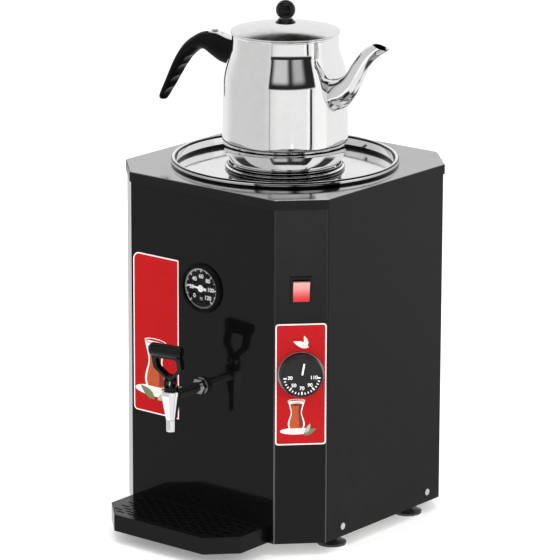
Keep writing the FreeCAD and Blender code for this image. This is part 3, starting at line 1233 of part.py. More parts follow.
def power_switch():
    """Rocker switch: a bezel with its body behind the sheet, and the rocker in it."""
    height = "foot_rise + switch_rise"
    bezel = box("switch_bezel", "switch_half_wide", "switch_half_tall", "switch_proud")
    case = box("switch_case", "switch_half_wide - switch_body_inset", "switch_half_tall - switch_body_inset",
               "switch_deep", "-switch_deep")
    mouth = box("switch_mouth", "rocker_half_wide + rocker_gap", "rocker_half_tall + rocker_sweep",
                "switch_proud + 9", "-8")
    pins = []
    for number, along in enumerate(("-switch_pin_pitch", "0", "switch_pin_pitch")):
        blade = solid("Box", "switch_blade_%d" % number,
                      Length="tab_wide", Width="tab_thick", Height="tab_long + 1")
        pins.append(place(blade, "-tab_wide / 2", along + " - tab_thick / 2", "-(switch_deep + tab_long)"))
    half_hole = "(switch_half_wide - switch_body_inset)"
    pivot_hole = cylinder("switch_pivot_hole", "rocker_pin_radius + pin_gap", "2 * " + half_hole)
    place(pivot_hole, "-" + half_hole, "0", "-rocker_pivot", SIDEWAYS)
    frame = cut("switch_frame", fuse("switch_solid", bezel, case, *pins), mouth, pivot_hole)
    keep(on_corner(frame, height), "switch_frame")
    body = new_body("rocker_cap")
    sk = new_sketch(body, "YZ_Plane")
    face = "switch_proud + rocker_pivot + seat_gap + 0.1"
    side = "rocker_half_tall - rocker_root + 0.5"
    inner = "-rocker_deep + rocker_root - 0.5"
    polygon(sk, [
        ("-rocker_half_tall", face + " + rocker_dish"), (minus(side), inner),
        ("-rocker_root", "-rocker_deep"), ("rocker_root", "-rocker_deep"),
        (side, inner), ("rocker_half_tall", face + " + rocker_dish"),
        ("rocker_half_tall / 2", face + " + rocker_dish / 4"), ("0", face),
        ("-rocker_half_tall / 2", face + " + rocker_dish / 4"),
    ])
    pad(body, sk, "2 * rocker_half_wide", both=True)
    half_pin = "(rocker_half_wide + rocker_pin_over)"
    pivot = cylinder("rocker_pins", "rocker_pin_radius", "2 * " + half_pin)
    place(pivot, "-" + half_pin, "0", "0", SIDEWAYS)
    rocker = on_corner(fuse("switch_rocker", body, pivot), height, "-rocker_pivot")
    tilt = CORNER.multiply(Rotation(Vector(1, 0, 0), size("rocker_tilt")))
    rocker.Placement = Placement(rocker.Placement.Base, tilt)
    keep(rocker, "switch_rocker")


def rounded_sheet(name, half_wide, half_tall, thick, radius):
    """A thin plate with four rounded corners, its back on its own XY plane."""
    body = new_body(name)
    sk = new_sketch(body, "XY_Plane")
    rectangle(sk, "0", "0", half_wide, half_tall)
    pad(body, sk, thick)
    doc.recompute()
    base = body.Tip
    upright = []
    for number, edge in enumerate(base.Shape.Edges, start=1):
        low, high = edge.Vertexes[0].Point, edge.Vertexes[-1].Point
        if abs(low.x - high.x) < 1e-6 and abs(low.y - high.y) < 1e-6:
            upright.append("Edge%d" % number)
    feature = body.newObject("PartDesign::Fillet", name + "_round")
    feature.Base = (base, upright)
    bind(feature, "Radius", radius)
    body.Tip = feature
    return body


def thermostat():
    """Control plate, thermostat, its shaft, screws, chrome ring and knob."""
    plate = rounded_sheet("control_plate", "plaque_half_wide", "plaque_half_tall", "plaque_thick", "plaque_round")
    holes = new_sketch(plate, "XY_Plane", "plaque_thick")
    lift = "knob_rise - plaque_rise"
    circle(holes, "0", lift, "shaft_hole")
    for side in ("stat_screw_side", "-stat_screw_side"):
        circle(holes, side, lift, "stat_screw_radius + thread_gap")
    pocket(plate, holes)
    keep(on_corner(plate, "foot_rise + plaque_rise"), "control_plate")
    height = "foot_rise + knob_rise"
    front = "(plaque_thick)"
    ring = tube("knob_ring", "ring_radius", "ring_bore", "ring_thick")
    keep(on_corner(ring, height, front), "knob_ring")
    base = "(plaque_thick + ring_thick + knob_gap)"
    knob = turned("thermostat_knob", [
        ("0", "0"), ("knob_radius", "0"), ("knob_radius", "knob_tall * 0.55"),
        ("knob_face_radius", "knob_tall"), ("0", "knob_tall"),
    ])
    socket = new_sketch(knob, "XY_Plane")
    circle(socket, "0", "0", "shaft_radius + thread_gap")
    pocket(knob, socket, "knob_tall / 2", forward=True)
    keep(on_corner(knob, height, base), "thermostat_knob")
    long = "knob_tall / 2 - 0.3 + plaque_thick + ring_thick + knob_gap + sheet + seat_gap + shaft_in"
    shaft = cylinder("thermostat_shaft", "shaft_radius", long)
    keep(on_corner(shaft, height, "-(sheet + seat_gap + shaft_in)"), "thermostat_shaft")
    case = box("stat_case", "stat_half_wide", "stat_half_tall", "stat_deep", "-(sheet + seat_gap + stat_deep)")
    bore = cylinder("stat_bore", "shaft_radius + shaft_gap", "shaft_in + 2")
    place(bore, z="-(sheet + seat_gap + shaft_in + 1)")
    tools = [bore]
    screws = []
    for number, side in enumerate(("stat_screw_side", "-stat_screw_side")):
        hole = cylinder("stat_screw_hole_%d" % number, "stat_screw_radius + thread_gap", "stat_screw_long + 4")
        tools.append(place(hole, side, "0", "-(sheet + seat_gap + stat_screw_long + 3)"))
        piece = screw("stat_screw_%d" % number, "stat_screw_radius", "stat_screw_head", "stat_screw_head_tall",
                      "stat_screw_long")
        screws.append(place(piece, side, "0", "0"))
    keep(on_corner(cut("thermostat_body", case, *tools), height), "thermostat_body")
    keep(on_corner(group("thermostat_screws", *screws), height, front), "thermostat_screws")


def front_label():
    """Thin printed panel on the left of the front face."""
    label = rounded_sheet("front_label", "label_half_wide", "label_half_tall", "label_thick", "label_round")
    return keep(on_front(label, "label_middle", "foot_rise + label_rise"), "front_label")


# Drip tray

def tray_outline(inset):
    """The tray's six corners, moved in by inset; its back is a straight side."""
    back = "-(case_half_deep + seat_gap + (%s))" % inset
    ahead = "-(case_half_deep + seat_gap + tray_deep - (%s))" % inset
    wide = "(tray_half_wide - (%s))" % inset
    narrow = "(tray_half_wide - tray_corner - (%s) * sqrt(2) + (%s))" % (inset, inset)
    bend = "-(case_half_deep + seat_gap + tray_deep - tray_corner - (%s) * sqrt(2) + (%s))" % (inset, inset)
    return [
        (wide, back), (minus(wide), back), (minus(wide), bend), (minus(narrow), ahead),
        (narrow, ahead), (wide, bend),
    ]


def drip_tray():
    """Tray that slides off its two tongues, and the lift-out grate on its ledge."""
    body = new_body("drip_tray")
    floor = new_sketch(body, "XY_Plane", "foot_rise")
    polygon(floor, tray_outline("0"))
    pad(body, floor, "sheet")
    wall = new_sketch(body, "XY_Plane", "foot_rise")
    polygon(wall, tray_outline("0"))
    polygon(wall, tray_outline("sheet"))
    pad(body, wall, "tray_tall")
    ledge = new_sketch(body, "XY_Plane", "foot_rise + tray_tall - grate_thick - seat_gap - sheet")
    polygon(ledge, tray_outline("0"))
    polygon(ledge, tray_outline("sheet + tray_ledge"))
    pad(body, ledge, "sheet")
    tongues = new_sketch(body, "XY_Plane", TONGUE_MIDDLE + " - tongue_thick / 2")
    for side in ("tongue_side", "-tongue_side"):
        middle = "-(case_half_deep + seat_gap + sheet / 2 - tongue_long / 2)"
        rectangle(tongues, side, middle, "tongue_half_wide", "tongue_long / 2 + sheet / 2")
    pad(body, tongues, "tongue_thick")
    keep(body, "drip_tray")
    grate = new_body("drip_grate")
    flat = new_sketch(grate, "XY_Plane", "foot_rise + tray_tall - grate_thick")
    polygon(flat, tray_outline("sheet + grate_gap"))
    pad(grate, flat, "grate_thick")
    doc.recompute()
    front = "-(case_half_deep + seat_gap + tray_deep - slot_front)"
    rows = ((4, "0", "0"), (5, "slot_pitch / 2", "slot_row / 2"))
    for reach, shift, ahead in rows:
        for sign in (1, -1):
            sk = new_sketch(grate, "XY_Plane", "foot_rise + tray_tall")
            start = shift if sign > 0 else ("-slot_pitch" if shift == "0" else "-slot_pitch / 2")
            rectangle(sk, start, front + " + " + ahead, "slot_long / 2", "slot_wide / 2")
            slots = pocket(grate, sk, "2 * grate_thick")
            spread(grate, slots, sk, sign, reach, 5)
    keep(grate, "drip_grate")


def spread(body, feature, sk, sign, across, along):
    """Repeat a slot sideways and towards the back."""
    multi = body.newObject("PartDesign::MultiTransform", body.Name + "_rows")
    first = body.newObject("PartDesign::LinearPattern", body.Name + "_across")
    first.Direction = (sk, ["H_Axis"])
    first.Reversed = sign < 0
    first.Occurrences = across
    bind(first, "Length", "slot_pitch * %d" % (across - 1))
    second = body.newObject("PartDesign::LinearPattern", body.Name + "_along")
    second.Direction = (sk, ["V_Axis"])
    second.Occurrences = along
    bind(second, "Length", "slot_row * %d" % (along - 1))
    multi.Originals = [feature]
    multi.Transformations = [first, second]
    body.Tip = multi
    doc.recompute()
    if multi.Shape.Volume > feature.Shape.Volume - 1e-6:
        raise RuntimeError("the slots were not repeated")


# Mains side

def mains_side():
    """Cable entry in the back and the terminal block on the base plate."""
    height = "foot_rise + gland_rise"
    entry = turned("cable_entry", [
        ("gland_bore", "-gland_in"), ("gland_neck - gland_snap", "-gland_in"),
        ("gland_neck + gland_snap", "-gland_in / 2"), ("gland_neck + gland_snap", "-sheet - seat_gap"),
        ("gland_neck", "-sheet - seat_gap"), ("gland_neck", "0"), ("gland_radius", "0"),
        ("gland_radius", "gland_lip"), ("gland_neck", "gland_proud"), ("gland_bore", "gland_proud"),
    ])
    keep(place(entry, "-gland_side", "case_half_deep", height, BACK), "cable_entry")
    block = solid("Box", "block_solid", Length="block_wide", Width="block_deep", Height="block_tall")
    wells = []
    for number in range(3):
        for row, along in enumerate(("block_deep * 0.25", "block_deep * 0.75")):
            well = cylinder("block_well_%d_%d" % (number, row), "block_well", "block_tall / 2 + 1")
            wells.append(place(well, "block_wide * %.4f" % ((2 * number + 1) / 6), along, "block_tall / 2"))
    terminals = cut("terminal_block", block, *wells)
    keep(place(terminals, "-block_wide / 2", "case_half_deep - block_back", "foot_rise + sheet"), "terminal_block")


# Teapot

POT_FLOOR = LID_TOP + " + seat_gap"

# Edges of the spout: x and height of its upper and lower edge, and its half width.
SPOUT = [
    (60.0, 112.0, 60.0, 74.0, 14.0),
    (80.0, 117.5, 86.0, 82.5, 13.5),
    (92.0, 126.0, 101.0, 97.0, 11.5),
    (102.0, 141.0, 112.5, 117.0, 9.3),
    (113.6, 154.5, 124.0, 137.5, 8.0),
    (121.5, 160.5, 136.5, 150.0, 7.5),
    (129.0, 164.0, 149.5, 158.0, 8.0),
]

# Edges of the handle in the same way, measured to the pot's other side.
GRIP = [
    (60.0, 141.0, 70.0, 107.0, 9.0),
    (72.0, 141.5, 82.0, 110.0, 10.0),
    (85.0, 143.5, 96.0, 112.5, 11.0),
    (100.0, 147.5, 108.0, 118.0, 12.0),
    (122.0, 145.5, 119.0, 124.0, 12.0),
    (138.0, 138.0, 130.0, 122.0, 12.0),
    (152.0, 126.5, 143.0, 111.5, 12.0),
    (165.0, 108.0, 155.0, 97.0, 11.5),
    (177.5, 83.5, 167.0, 79.0, 10.5),
    (188.5, 62.5, 179.5, 60.0, 8.5),
    (190.0, 57.0, 183.0, 55.0, 6.0),
]

# Middles of the finger hollows under the grip: distance from the middle and height.
FINGERS = [(134.3, 97.4), (143.4, 86.2), (153.6, 70.7), (163.9, 55.2)]

# Underside of the bracket along the handle: distance from the middle and height.
STRAP = [(63.2, 139.8), (85.0, 142.6), (100.0, 146.4), (112.0, 146.4)]


def slab(points, half):
    """A plate of the given half width, from an outline on the handle's side of the pot."""
    wire = Part.makePolygon([Vector(-x, -half, z) for x, z in points + points[:1]])
    return Part.Face(wire).extrude(Vector(0, 2 * half, 0))


def lathe(outline):
    """Turn a closed wire in the XZ plane about the Z axis."""
    return Part.Face(Part.Wire(outline)).revolve(Vector(0, 0, 0), Vector(0, 0, 1), 360)


def line(a, b):
    return Part.LineSegment(Vector(a[0], 0, a[1]), Vector(b[0], 0, b[1])).toShape()


def curve(*points):
    bezier = Part.BezierCurve()
    bezier.setPoles([Vector(r, 0, z) for r, z in points])
    return bezier.toShape()


def pot_solid(inset):
    """The pot's outer form, or its inside when moved in by the wall."""
    foot = size("pot_foot_radius") - inset
    belly = size("pot_belly_radius") - inset
    belly_z = size("pot_belly_rise")
    shoulder = size("pot_shoulder_radius") - inset
    shoulder_z = size("pot_shoulder_rise")
    neck = size("pot_neck_radius") - inset
    neck_z = size("pot_neck_rise")
    neck_foot = neck + size("pot_neck_draw")
    slope = size("pot_neck_slope")
    top = size("pot_tall") + (1 if inset else 0)
    bottom = inset
    depth = belly_z - bottom
    pull = 0.5523
    lean = (neck_z - shoulder_z) * 0.3
    outline = [
        line((0, bottom), (foot, bottom)),
        curve((foot, bottom), (foot + pull * (belly - foot), bottom), (belly, belly_z - pull * depth),
              (belly, belly_z)),
        line((belly, belly_z), (shoulder, shoulder_z)),
        curve((shoulder, shoulder_z), (shoulder, shoulder_z + lean * 1.15),
              (neck_foot + slope * lean, neck_z - lean), (neck_foot, neck_z)),
        line((neck_foot, neck_z), (neck, top)),
        line((neck, top), (0, top)),
        line((0, top), (0, bottom)),
    ]
    return lathe(outline)


OVAL_POINTS = 12


def oval(centre, up, reach, wide):
    """An oval round centre: reach along up, wide along the pot's Y axis."""
    points = []
    for number in range(OVAL_POINTS):
        angle = 2 * math.pi * number / OVAL_POINTS
        points.append(centre + up * reach * math.cos(angle) + Vector(0, wide * math.sin(angle), 0))
    outline = Part.BSplineCurve()
    outline.interpolate(Points=points, PeriodicFlag=True)
    return Part.Wire([outline.toShape()])


def oval_loft(rows, sign, inset):
    """Loft through ovals given by their upper and lower edge points and half width."""
    wires = []
    for high_x, high_z, low_x, low_z, half in rows:
        high = Vector(sign * high_x, 0, high_z)
        low = Vector(sign * low_x, 0, low_z)
        centre = (high + low) * 0.5
        reach = (high - centre).Length
        wires.append(oval(centre, (high - centre).normalize(), reach - inset, half - inset))
    return Part.makeLoft(wires, True, False)


def pot_height():
    names = ("foot_rise", "case_tall", "top_thick", "rim_rise", "seat_gap")
    return sum(size(n) for n in names) - size("lid_drop")


def set_on_lid(name, shape):
    """A teapot piece whose shape is set in code, standing on the boiler's lid."""
    thing = doc.addObject("Part::Feature", name)
    thing.Shape = shape
    thing.Placement = Placement(Vector(0, 0, pot_height()), Rotation())
    return keep(thing, name)


def teapot():
    """Pot, spout, handle and bracket."""
    wall = size("pot_wall")
    neck = size("pot_neck_radius")
    tall = size("pot_tall")
    bead = size("pot_bead")
    outer = pot_solid(0)
    pot = outer.cut(pot_solid(wall))
    pot = pot.fuse(Part.makeTorus(neck, bead, Vector(0, 0, tall - bead), Vector(0, 0, 1)))
    pot = pot.cut(Part.makeCylinder(neck - wall, 4 * bead, Vector(0, 0, tall - 3 * bead)))
    pitch = size("strainer_pitch")
    for across in (-1, 0, 1):
        for up in (-1.5, -0.5, 0.5, 1.5):
            start = Vector(neck / 2, across * pitch, size("strainer_rise") + up * pitch)
            pot = pot.cut(Part.makeCylinder(size("strainer_radius"), neck, start, Vector(1, 0, 0)))
    set_on_lid("teapot_body", pot.removeSplitter())
    spout = oval_loft(SPOUT, 1, 0).cut(oval_loft(SPOUT, 1, wall)).cut(outer)
    set_on_lid("teapot_spout", max(spout.Solids, key=lambda s: s.Volume))
    gap = size("seat_gap")
    thick = size("bracket_thick")
    half = size("bracket_wide") / 2
    screw_x = -(STRAP[2][0] + STRAP[3][0]) / 2
    seat = STRAP[2][1]
    screw_bore = size("grip_screw_radius") + size("thread_gap")
    long = size("grip_screw_long")
    grip = oval_loft(GRIP, -1, 0).cut(pot_solid(-size("grip_root_gap")))
    reach = 2 * size("finger_radius")
    for out, up in FINGERS:
        hollow = Part.makeCylinder(size("finger_radius"), reach, Vector(-out, -reach / 2, up), Vector(0, 1, 0))
        grip = grip.cut(hollow)
    room = [(x, z - gap) for x, z in STRAP] + [(STRAP[-1][0] + gap, STRAP[-1][1] - gap)]
    room += [(room[-1][0], seat + 4 * thick), (room[0][0], seat + 4 * thick)]
    grip = grip.cut(slab(room, half + gap))
    grip = grip.cut(Part.makeCylinder(screw_bore, long + 2, Vector(screw_x, 0, seat - long - 1)))
    set_on_lid("teapot_handle", max(grip.Solids, key=lambda s: s.Volume))
    root_x, root_z = STRAP[0]
    over = [(x, z + thick) for x, z in reversed(STRAP[1:])]
    tab = [(root_x + thick, root_z + thick), (root_x + thick, root_z + 4 * thick), (root_x, root_z + 4 * thick)]
    strap = slab(STRAP + over + tab, half)
    strap = strap.cut(Part.makeCylinder(screw_bore, 30, Vector(screw_x, 0, seat - 10)))
    strap = strap.cut(pot_solid(-gap / 3))
    set_on_lid("handle_bracket", strap)
    head = Part.makeCylinder(1.9 * size("grip_screw_radius"), thick, Vector(screw_x, 0, seat + thick + 0.1))
    shank = Part.makeCylinder(size("grip_screw_radius"), long + thick + 0.2, Vector(screw_x, 0, seat - long))
    set_on_lid("handle_screw", head.fuse(shank))


def teapot_lid():
    """Domed lid with a collar inside the neck, its round knob and the knob's screw."""
    radius = size("cover_radius")
    rise = size("cover_dome")
    wall = size("cover_wall")
    edge = size("cover_edge")
    base = size("pot_tall") + size("seat_gap")
    plug = size("pot_neck_radius") - size("pot_wall") - size("cover_plug_gap")
    bend = (radius ** 2 + rise ** 2) / (2 * rise)
    middle_z = base + edge + rise - bend

    def dome(r, drop):
        return (r, middle_z + math.sqrt((bend - drop) ** 2 - r ** 2))

    def arc(a, b, c):
        return Part.Arc(*[Vector(r, 0, z) for r, z in (a, b, c)]).toShape()

    hole = size("button_screw_radius") + size("shank_gap")
    over = [dome(hole, 0), dome(radius / 2, 0), dome(radius, 0)]
    under = [dome(plug, wall), dome(plug / 2, wall), dome(hole, wall)]
    outline = [
        arc(*over), line(over[2], (radius, base)), line((radius, base), (plug, base)),
        line((plug, base), (plug, base - size("cover_plug_long"))),
        line((plug, base - size("cover_plug_long")), (plug - wall, base - size("cover_plug_long"))),
        line((plug - wall, base - size("cover_plug_long")), dome(plug - wall, wall)),
        arc(dome(plug - wall, wall), dome(plug / 2, wall), under[2]), line(under[2], over[0]),
    ]
    set_on_lid("teapot_lid", lathe(outline))
    apex = base + edge + rise
    foot = cylinder("knob_foot", "button_foot_radius", "button_foot_tall")
    neck = solid("Cone", "knob_neck", Radius1="button_foot_radius - 1", Radius2="button_waist_radius",
                 Height="button_waist_rise - button_foot_tall")
    place(neck, z="button_foot_tall")
    ball = place(solid("Sphere", "knob_ball", Radius="button_radius"), z="button_rise")
    bore = place(cylinder("knob_bore", "button_screw_radius + thread_gap", "button_screw_long + 2"), z="-1")
    button = cut("lid_knob", fuse("knob_solid", foot, neck, ball), bore)
    cover_top = POT_FLOOR + " + pot_tall + seat_gap + cover_edge + cover_dome"
    keep(place(button, z=cover_top + " + seat_gap / 2"), "lid_knob")
    head_tall = size("button_screw_head_tall")
    head_base = Vector(0, 0, apex - wall - 0.15 - head_tall)
    head = Part.makeCylinder(size("button_screw_head"), head_tall, head_base)
    shank_long = wall + 0.3 + size("button_screw_long")
    shank = Part.makeCylinder(size("button_screw_radius"), shank_long, Vector(0, 0, apex - wall - 0.2))
    set_on_lid("knob_screw", head.fuse(shank))


def write_parts():
    """Check every object, then write each sub-part to its own file."""
    doc.recompute()
    for thing in doc.Objects:
        if "Invalid" in thing.State or "Error" in thing.State:
            raise RuntimeError("%s: %s" % (thing.Name, thing.State))
    os.makedirs("parts", exist_ok=True)
    for thing in subparts:
        if thing.Shape.isNull() or not thing.Shape.isValid():
            raise RuntimeError(thing.Label + " has no valid shape")
        thing.Shape.exportStep("parts/" + thing.Label + ".step")


front_shell()
rear_shell()
base_plate()
cap_frame()
top_plate()
case_screws()
feet()
boiler_tank()
heater_element()
heater_fixings()
boiler_legs()
heat_jacket()
overheat_cutout()
boiler_lid()
boiler_outlet()
tap_body()
tap_nozzle()
tap_fixings()
tap_bonnet()
tap_stem()
tap_seal()
tap_spring()
tap_lever()
lever_pin()
thermometer()
probes()
power_switch()
thermostat()
front_label()
drip_tray()
mains_side()
teapot()
teapot_lid()
write_parts()
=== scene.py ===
# %% [markdown]
# # A tea urn with its teapot
# A tea urn is a tall painted casing round a steel boiler. The boiler's lid is open in the
# middle, and a teapot stands over the steam. The solid model of the urn is already made,
# at real size, so this lesson starts from it: pieces that are flat and plain keep their
# solids and get a better finish, and pieces that are round, polished or printed are made
# again here with smooth meshes that stand in the same places.

# %% Load the model
import math

import bmesh
import bpy
from mathutils import Matrix, Vector


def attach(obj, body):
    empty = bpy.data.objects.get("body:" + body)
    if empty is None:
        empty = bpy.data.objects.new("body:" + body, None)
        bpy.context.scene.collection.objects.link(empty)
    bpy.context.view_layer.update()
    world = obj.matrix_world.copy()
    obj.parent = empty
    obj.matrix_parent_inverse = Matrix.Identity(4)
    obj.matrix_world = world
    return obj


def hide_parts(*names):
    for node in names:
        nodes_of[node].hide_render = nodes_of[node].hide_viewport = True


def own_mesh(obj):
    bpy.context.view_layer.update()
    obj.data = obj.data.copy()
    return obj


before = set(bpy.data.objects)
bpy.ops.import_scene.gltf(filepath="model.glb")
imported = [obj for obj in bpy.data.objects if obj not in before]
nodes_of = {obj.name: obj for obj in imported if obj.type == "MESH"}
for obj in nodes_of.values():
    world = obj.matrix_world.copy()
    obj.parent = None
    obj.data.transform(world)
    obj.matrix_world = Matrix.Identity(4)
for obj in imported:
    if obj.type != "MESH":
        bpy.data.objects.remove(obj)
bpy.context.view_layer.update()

print("solids in the model:", len(nodes_of))

# %% [markdown]
# ## The camera
# The photograph was taken from far away with a long lens, from the front and right of
# the urn and a little above it. The camera is placed with angles about the urn, so its
# lens and distance can be read as a photographer would say them.

# %% Camera
AZIMUTH = math.radians(38.77)
ELEVATION = math.radians(15.26)
DISTANCE = 4.7256
ROLL = math.radians(0.20)
LENS_MM, SENSOR_MM = 257.54, 36
LOOK_ASIDE, LOOK_HEIGHT = -0.0054, 0.28024

right = Vector((math.cos(AZIMUTH), math.sin(AZIMUTH), 0))
back = Vector((math.sin(AZIMUTH) * math.cos(ELEVATION), -math.cos(AZIMUTH) * math.cos(ELEVATION),
               math.sin(ELEVATION)))
up = back.cross(right)
look_at = right * LOOK_ASIDE + Vector((0, 0, LOOK_HEIGHT))
rolled_right = right * math.cos(ROLL) + up * math.sin(ROLL)
rolled_up = up * math.cos(ROLL) - right * math.sin(ROLL)

camera_data = bpy.data.cameras.new("camera")
camera_data.lens = LENS_MM
camera_data.sensor_width = SENSOR_MM
camera = bpy.data.objects.new("camera", camera_data)
bpy.context.scene.collection.objects.link(camera)
turn = Matrix((rolled_right, rolled_up, back)).transposed().to_4x4()
camera.matrix_world = Matrix.Translation(look_at + back * DISTANCE) @ turn
bpy.context.scene.camera = camera
bpy.context.scene.view_settings.view_transform = "Standard"
print("camera at", tuple(round(x, 3) for x in camera.matrix_world.translation))

# %% [markdown]
# ## Small tools for meshes
# Most of the urn's bright pieces were spun or turned on a lathe. In Blender such a piece
# can be a Screw modifier on a drawn line, or a mesh made ring by ring. Rings are used
# here, because the corner of each outline can be rounded first: real metal never has a
# perfectly sharp edge, and a rounded one is what catches the light.

# %% Mesh tools
MM = 0.001


def add_object(name, data):
    piece = bpy.data.objects.new(name, data)
    bpy.context.scene.collection.objects.link(piece)
    return piece


def mesh_object(name, points, faces, finish, sharp=40):
    """A mesh from points in millimetres, shaded smooth except at its sharp edges."""
    data = bpy.data.meshes.new(name)
    data.from_pydata([tuple(c * MM for c in p) for p in points], [], faces)
    data.validate()
    data.shade_smooth()
    data.set_sharp_from_angle(angle=math.radians(sharp))
    for coat in finish if isinstance(finish, tuple) else (finish,):
        data.materials.append(coat)
    return add_object(name, data)


def rounded(outline, steps=5):
    """An outline of (across, up, radius) corners, with each corner turned into an arc."""
    result = []
    count = len(outline)
    for k, (x, y, radius) in enumerate(outline):
        here = Vector((x, y))
        if radius <= 0:
            result.append((x, y))
            continue
        before = Vector(outline[k - 1][:2]) - here
        after = Vector(outline[(k + 1) % count][:2]) - here
        angle = before.angle(after) / 2
        reach = min(radius / math.tan(angle), 0.49 * min(before.length, after.length))
        true_radius = reach * math.tan(angle)
        start, end = before.normalized() * reach, after.normalized() * reach
        centre = (before.normalized() + after.normalized()).normalized() * (true_radius / math.sin(angle))
        from_centre, to_centre = start - centre, end - centre
        sweep = from_centre.angle_signed(to_centre)
        for s in range(steps + 1):
            a = -sweep * s / steps
            arm = Vector((from_centre.x * math.cos(a) - from_centre.y * math.sin(a),
                          from_centre.x * math.sin(a) + from_centre.y * math.cos(a)))
            result.append(tuple(here + centre + arm))
    return result


def spin(outline, sides=160):
    """Points and faces of a closed outline of (radius, height) turned about Z."""
    points, faces = [], []
    rings = []
    for radius, height in outline:
        if radius < 1e-6:
            rings.append([len(points)])
            points.append((0, 0, height))
            continue
        rings.append(list(range(len(points), len(points) + sides)))
        for s in range(sides):
            a = 2 * math.pi * s / sides
            points.append((radius * math.cos(a), radius * math.sin(a), height))
    for ring, following in zip(rings, rings[1:] + rings[:1]):
        if len(ring) == 1 and len(following) == 1:
            continue
        for s in range(sides):
            e = (s + 1) % sides
            if len(ring) == 1:
                faces.append((ring[0], following[e], following[s]))
            elif len(following) == 1:
                faces.append((ring[s], ring[e], following[0]))
            else:
                faces.append((ring[s], ring[e], following[e], following[s]))
    return points, faces


print("mesh tools ready")

# %% Seats
# The front face and the middle of the cut corner, in millimetres.
FACE_Y = -151.7
CORNER_X, CORNER_Y = 128.55, -130.25
FRONT = Matrix.Rotation(math.radians(90), 4, "X")
CORNER = Matrix.Rotation(math.radians(45), 4, "Z") @ FRONT
AS_DRAWN = Matrix.Identity(4)


def on_front(x, z, out=0.0):
    """Seat on the front face: own Z points out of it, own Y up."""
    return Matrix.Translation(Vector((x, FACE_Y - out, z)) * MM) @ FRONT


def on_corner(across, z, out=0.0):
    """Seat on the cut front corner, measured sideways from its middle line."""
    step = math.sqrt(0.5)
    x = CORNER_X + (across + out) * step
    y = CORNER_Y + (across - out) * step
    return Matrix.Translation(Vector((x, y, z)) * MM) @ CORNER


def upright(x=0.0, y=0.0, z=0.0, turned=0.0):
    return Matrix.Translation(Vector((x, y, z)) * MM) @ Matrix.Rotation(math.radians(turned), 4, "Z")


print("front face at", FACE_Y, "mm, cut corner at", CORNER_X, CORNER_Y, "mm")


# %% Making and settling pieces
def fix_normals(piece):
    """Turn every face outwards."""
    work = bmesh.new()
    work.from_mesh(piece.data)
    bmesh.ops.recalc_face_normals(work, faces=work.faces)
    work.to_mesh(piece.data)
    work.free()


def settle(piece, seat, body, node=None):
    """Bake a piece's seat into its mesh, let it ride on a body and hide the solid it stands in for."""
    piece.data.transform(seat)
    piece.data.update()
    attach(piece, body)
    if node:
        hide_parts(node)
    return piece


def make(name, shape, finish, seat, body, node=None, sharp=40):
    """A settled piece from a pair of points and faces, with its faces turned outwards."""
    piece = mesh_object(name, *shape, finish, sharp)
    fix_normals(piece)
    return settle(piece, seat, body, node)


def turned_piece(name, outline, finish, seat, body, node=None, sides=160, steps=5):
    """A lathe piece from an outline of (radius, height, corner radius)."""
    return make(name, spin(rounded(outline, steps), sides), finish, seat, body, node)


def soften(piece, width, segments=2, angle=35):
    """Bevel the hard edges of a piece without touching its own mesh."""
    bevel = piece.modifiers.new("soft edges", "BEVEL")
    bevel.width = width * MM
    bevel.segments = segments
    bevel.limit_method = "ANGLE"
    bevel.angle_limit = math.radians(angle)
    bevel.harden_normals = True
    return piece


def prism(name, outline, low, high, finish, seat, body, node=None, edge=0.0):
    """A plate from a flat outline in its own XY plane, between two heights."""
    count = len(outline)
    points = [(x, y, z) for z in (low, high) for x, y in outline]
    faces = [tuple(range(count - 1, -1, -1)), tuple(range(count, 2 * count))]
    faces += [(k, (k + 1) % count, count + (k + 1) % count, count + k) for k in range(count)]
    piece = make(name, (points, faces), finish, seat, body, node)
    return soften(piece, edge) if edge else piece


def rounded_box(half_wide, half_tall, radii, steps=6):
    """A rectangle's outline; its corner radii start at the lower left and run anticlockwise."""
    radii = radii if isinstance(radii, list) else [radii] * 4
    corners = ((-1, -1), (1, -1), (1, 1), (-1, 1))
    return rounded([(x * half_wide, y * half_tall, r) for (x, y), r in zip(corners, radii)], steps)


print("settling tools ready")

# %% [markdown]
# ## Shared effects
# Four small surface effects turn up on almost every material of the urn: fine wear
# lines on metal, soft smudges left by hands and cleaning, the faint orange peel of
# sprayed paint, and dust that settles on what faces up. Each is one node group with named
# inputs, built once, and every material places it with its own values. A group only gives
# masks and heights; the shader stays in the material.

# %% Node helpers
def add_node(tree, kind, *values, **named):
    """A shader node; values fill its inputs, numbers are set and sockets are linked."""
    node = tree.nodes.new("ShaderNode" + kind)
    wanted = dict(enumerate(values))
    for key, value in named.items():
        label = key.replace("_", " ")
        if label in node.inputs:
            wanted[label] = value
        else:
            setattr(node, key, value)
    for place, value in wanted.items():
        if isinstance(value, bpy.types.NodeSocket):
            tree.links.new(value, node.inputs[place])
        elif value is not None:
            node.inputs[place].default_value = value
    return node


def calc(tree, operation, first, second=None):
    return add_node(tree, "Math", first, second, operation=operation).outputs[0]


def remap(tree, value, low, high, to_low=0.0, to_high=1.0, kind="LINEAR"):
    """Move a value from the range low to high into another range."""
    moved = add_node(tree, "MapRange", value, low, high, to_low, to_high, interpolation_type=kind)
    return moved.outputs["Result"]


def place_in_object(tree):
    return add_node(tree, "TexCoord").outputs["Object"]


def height_of(tree, vector):
    return add_node(tree, "SeparateXYZ", vector).outputs["Z"]


def noise(tree, where, scale, **settings):
    return add_node(tree, "TexNoise", Vector=where, Scale=scale, **settings).outputs["Fac"]


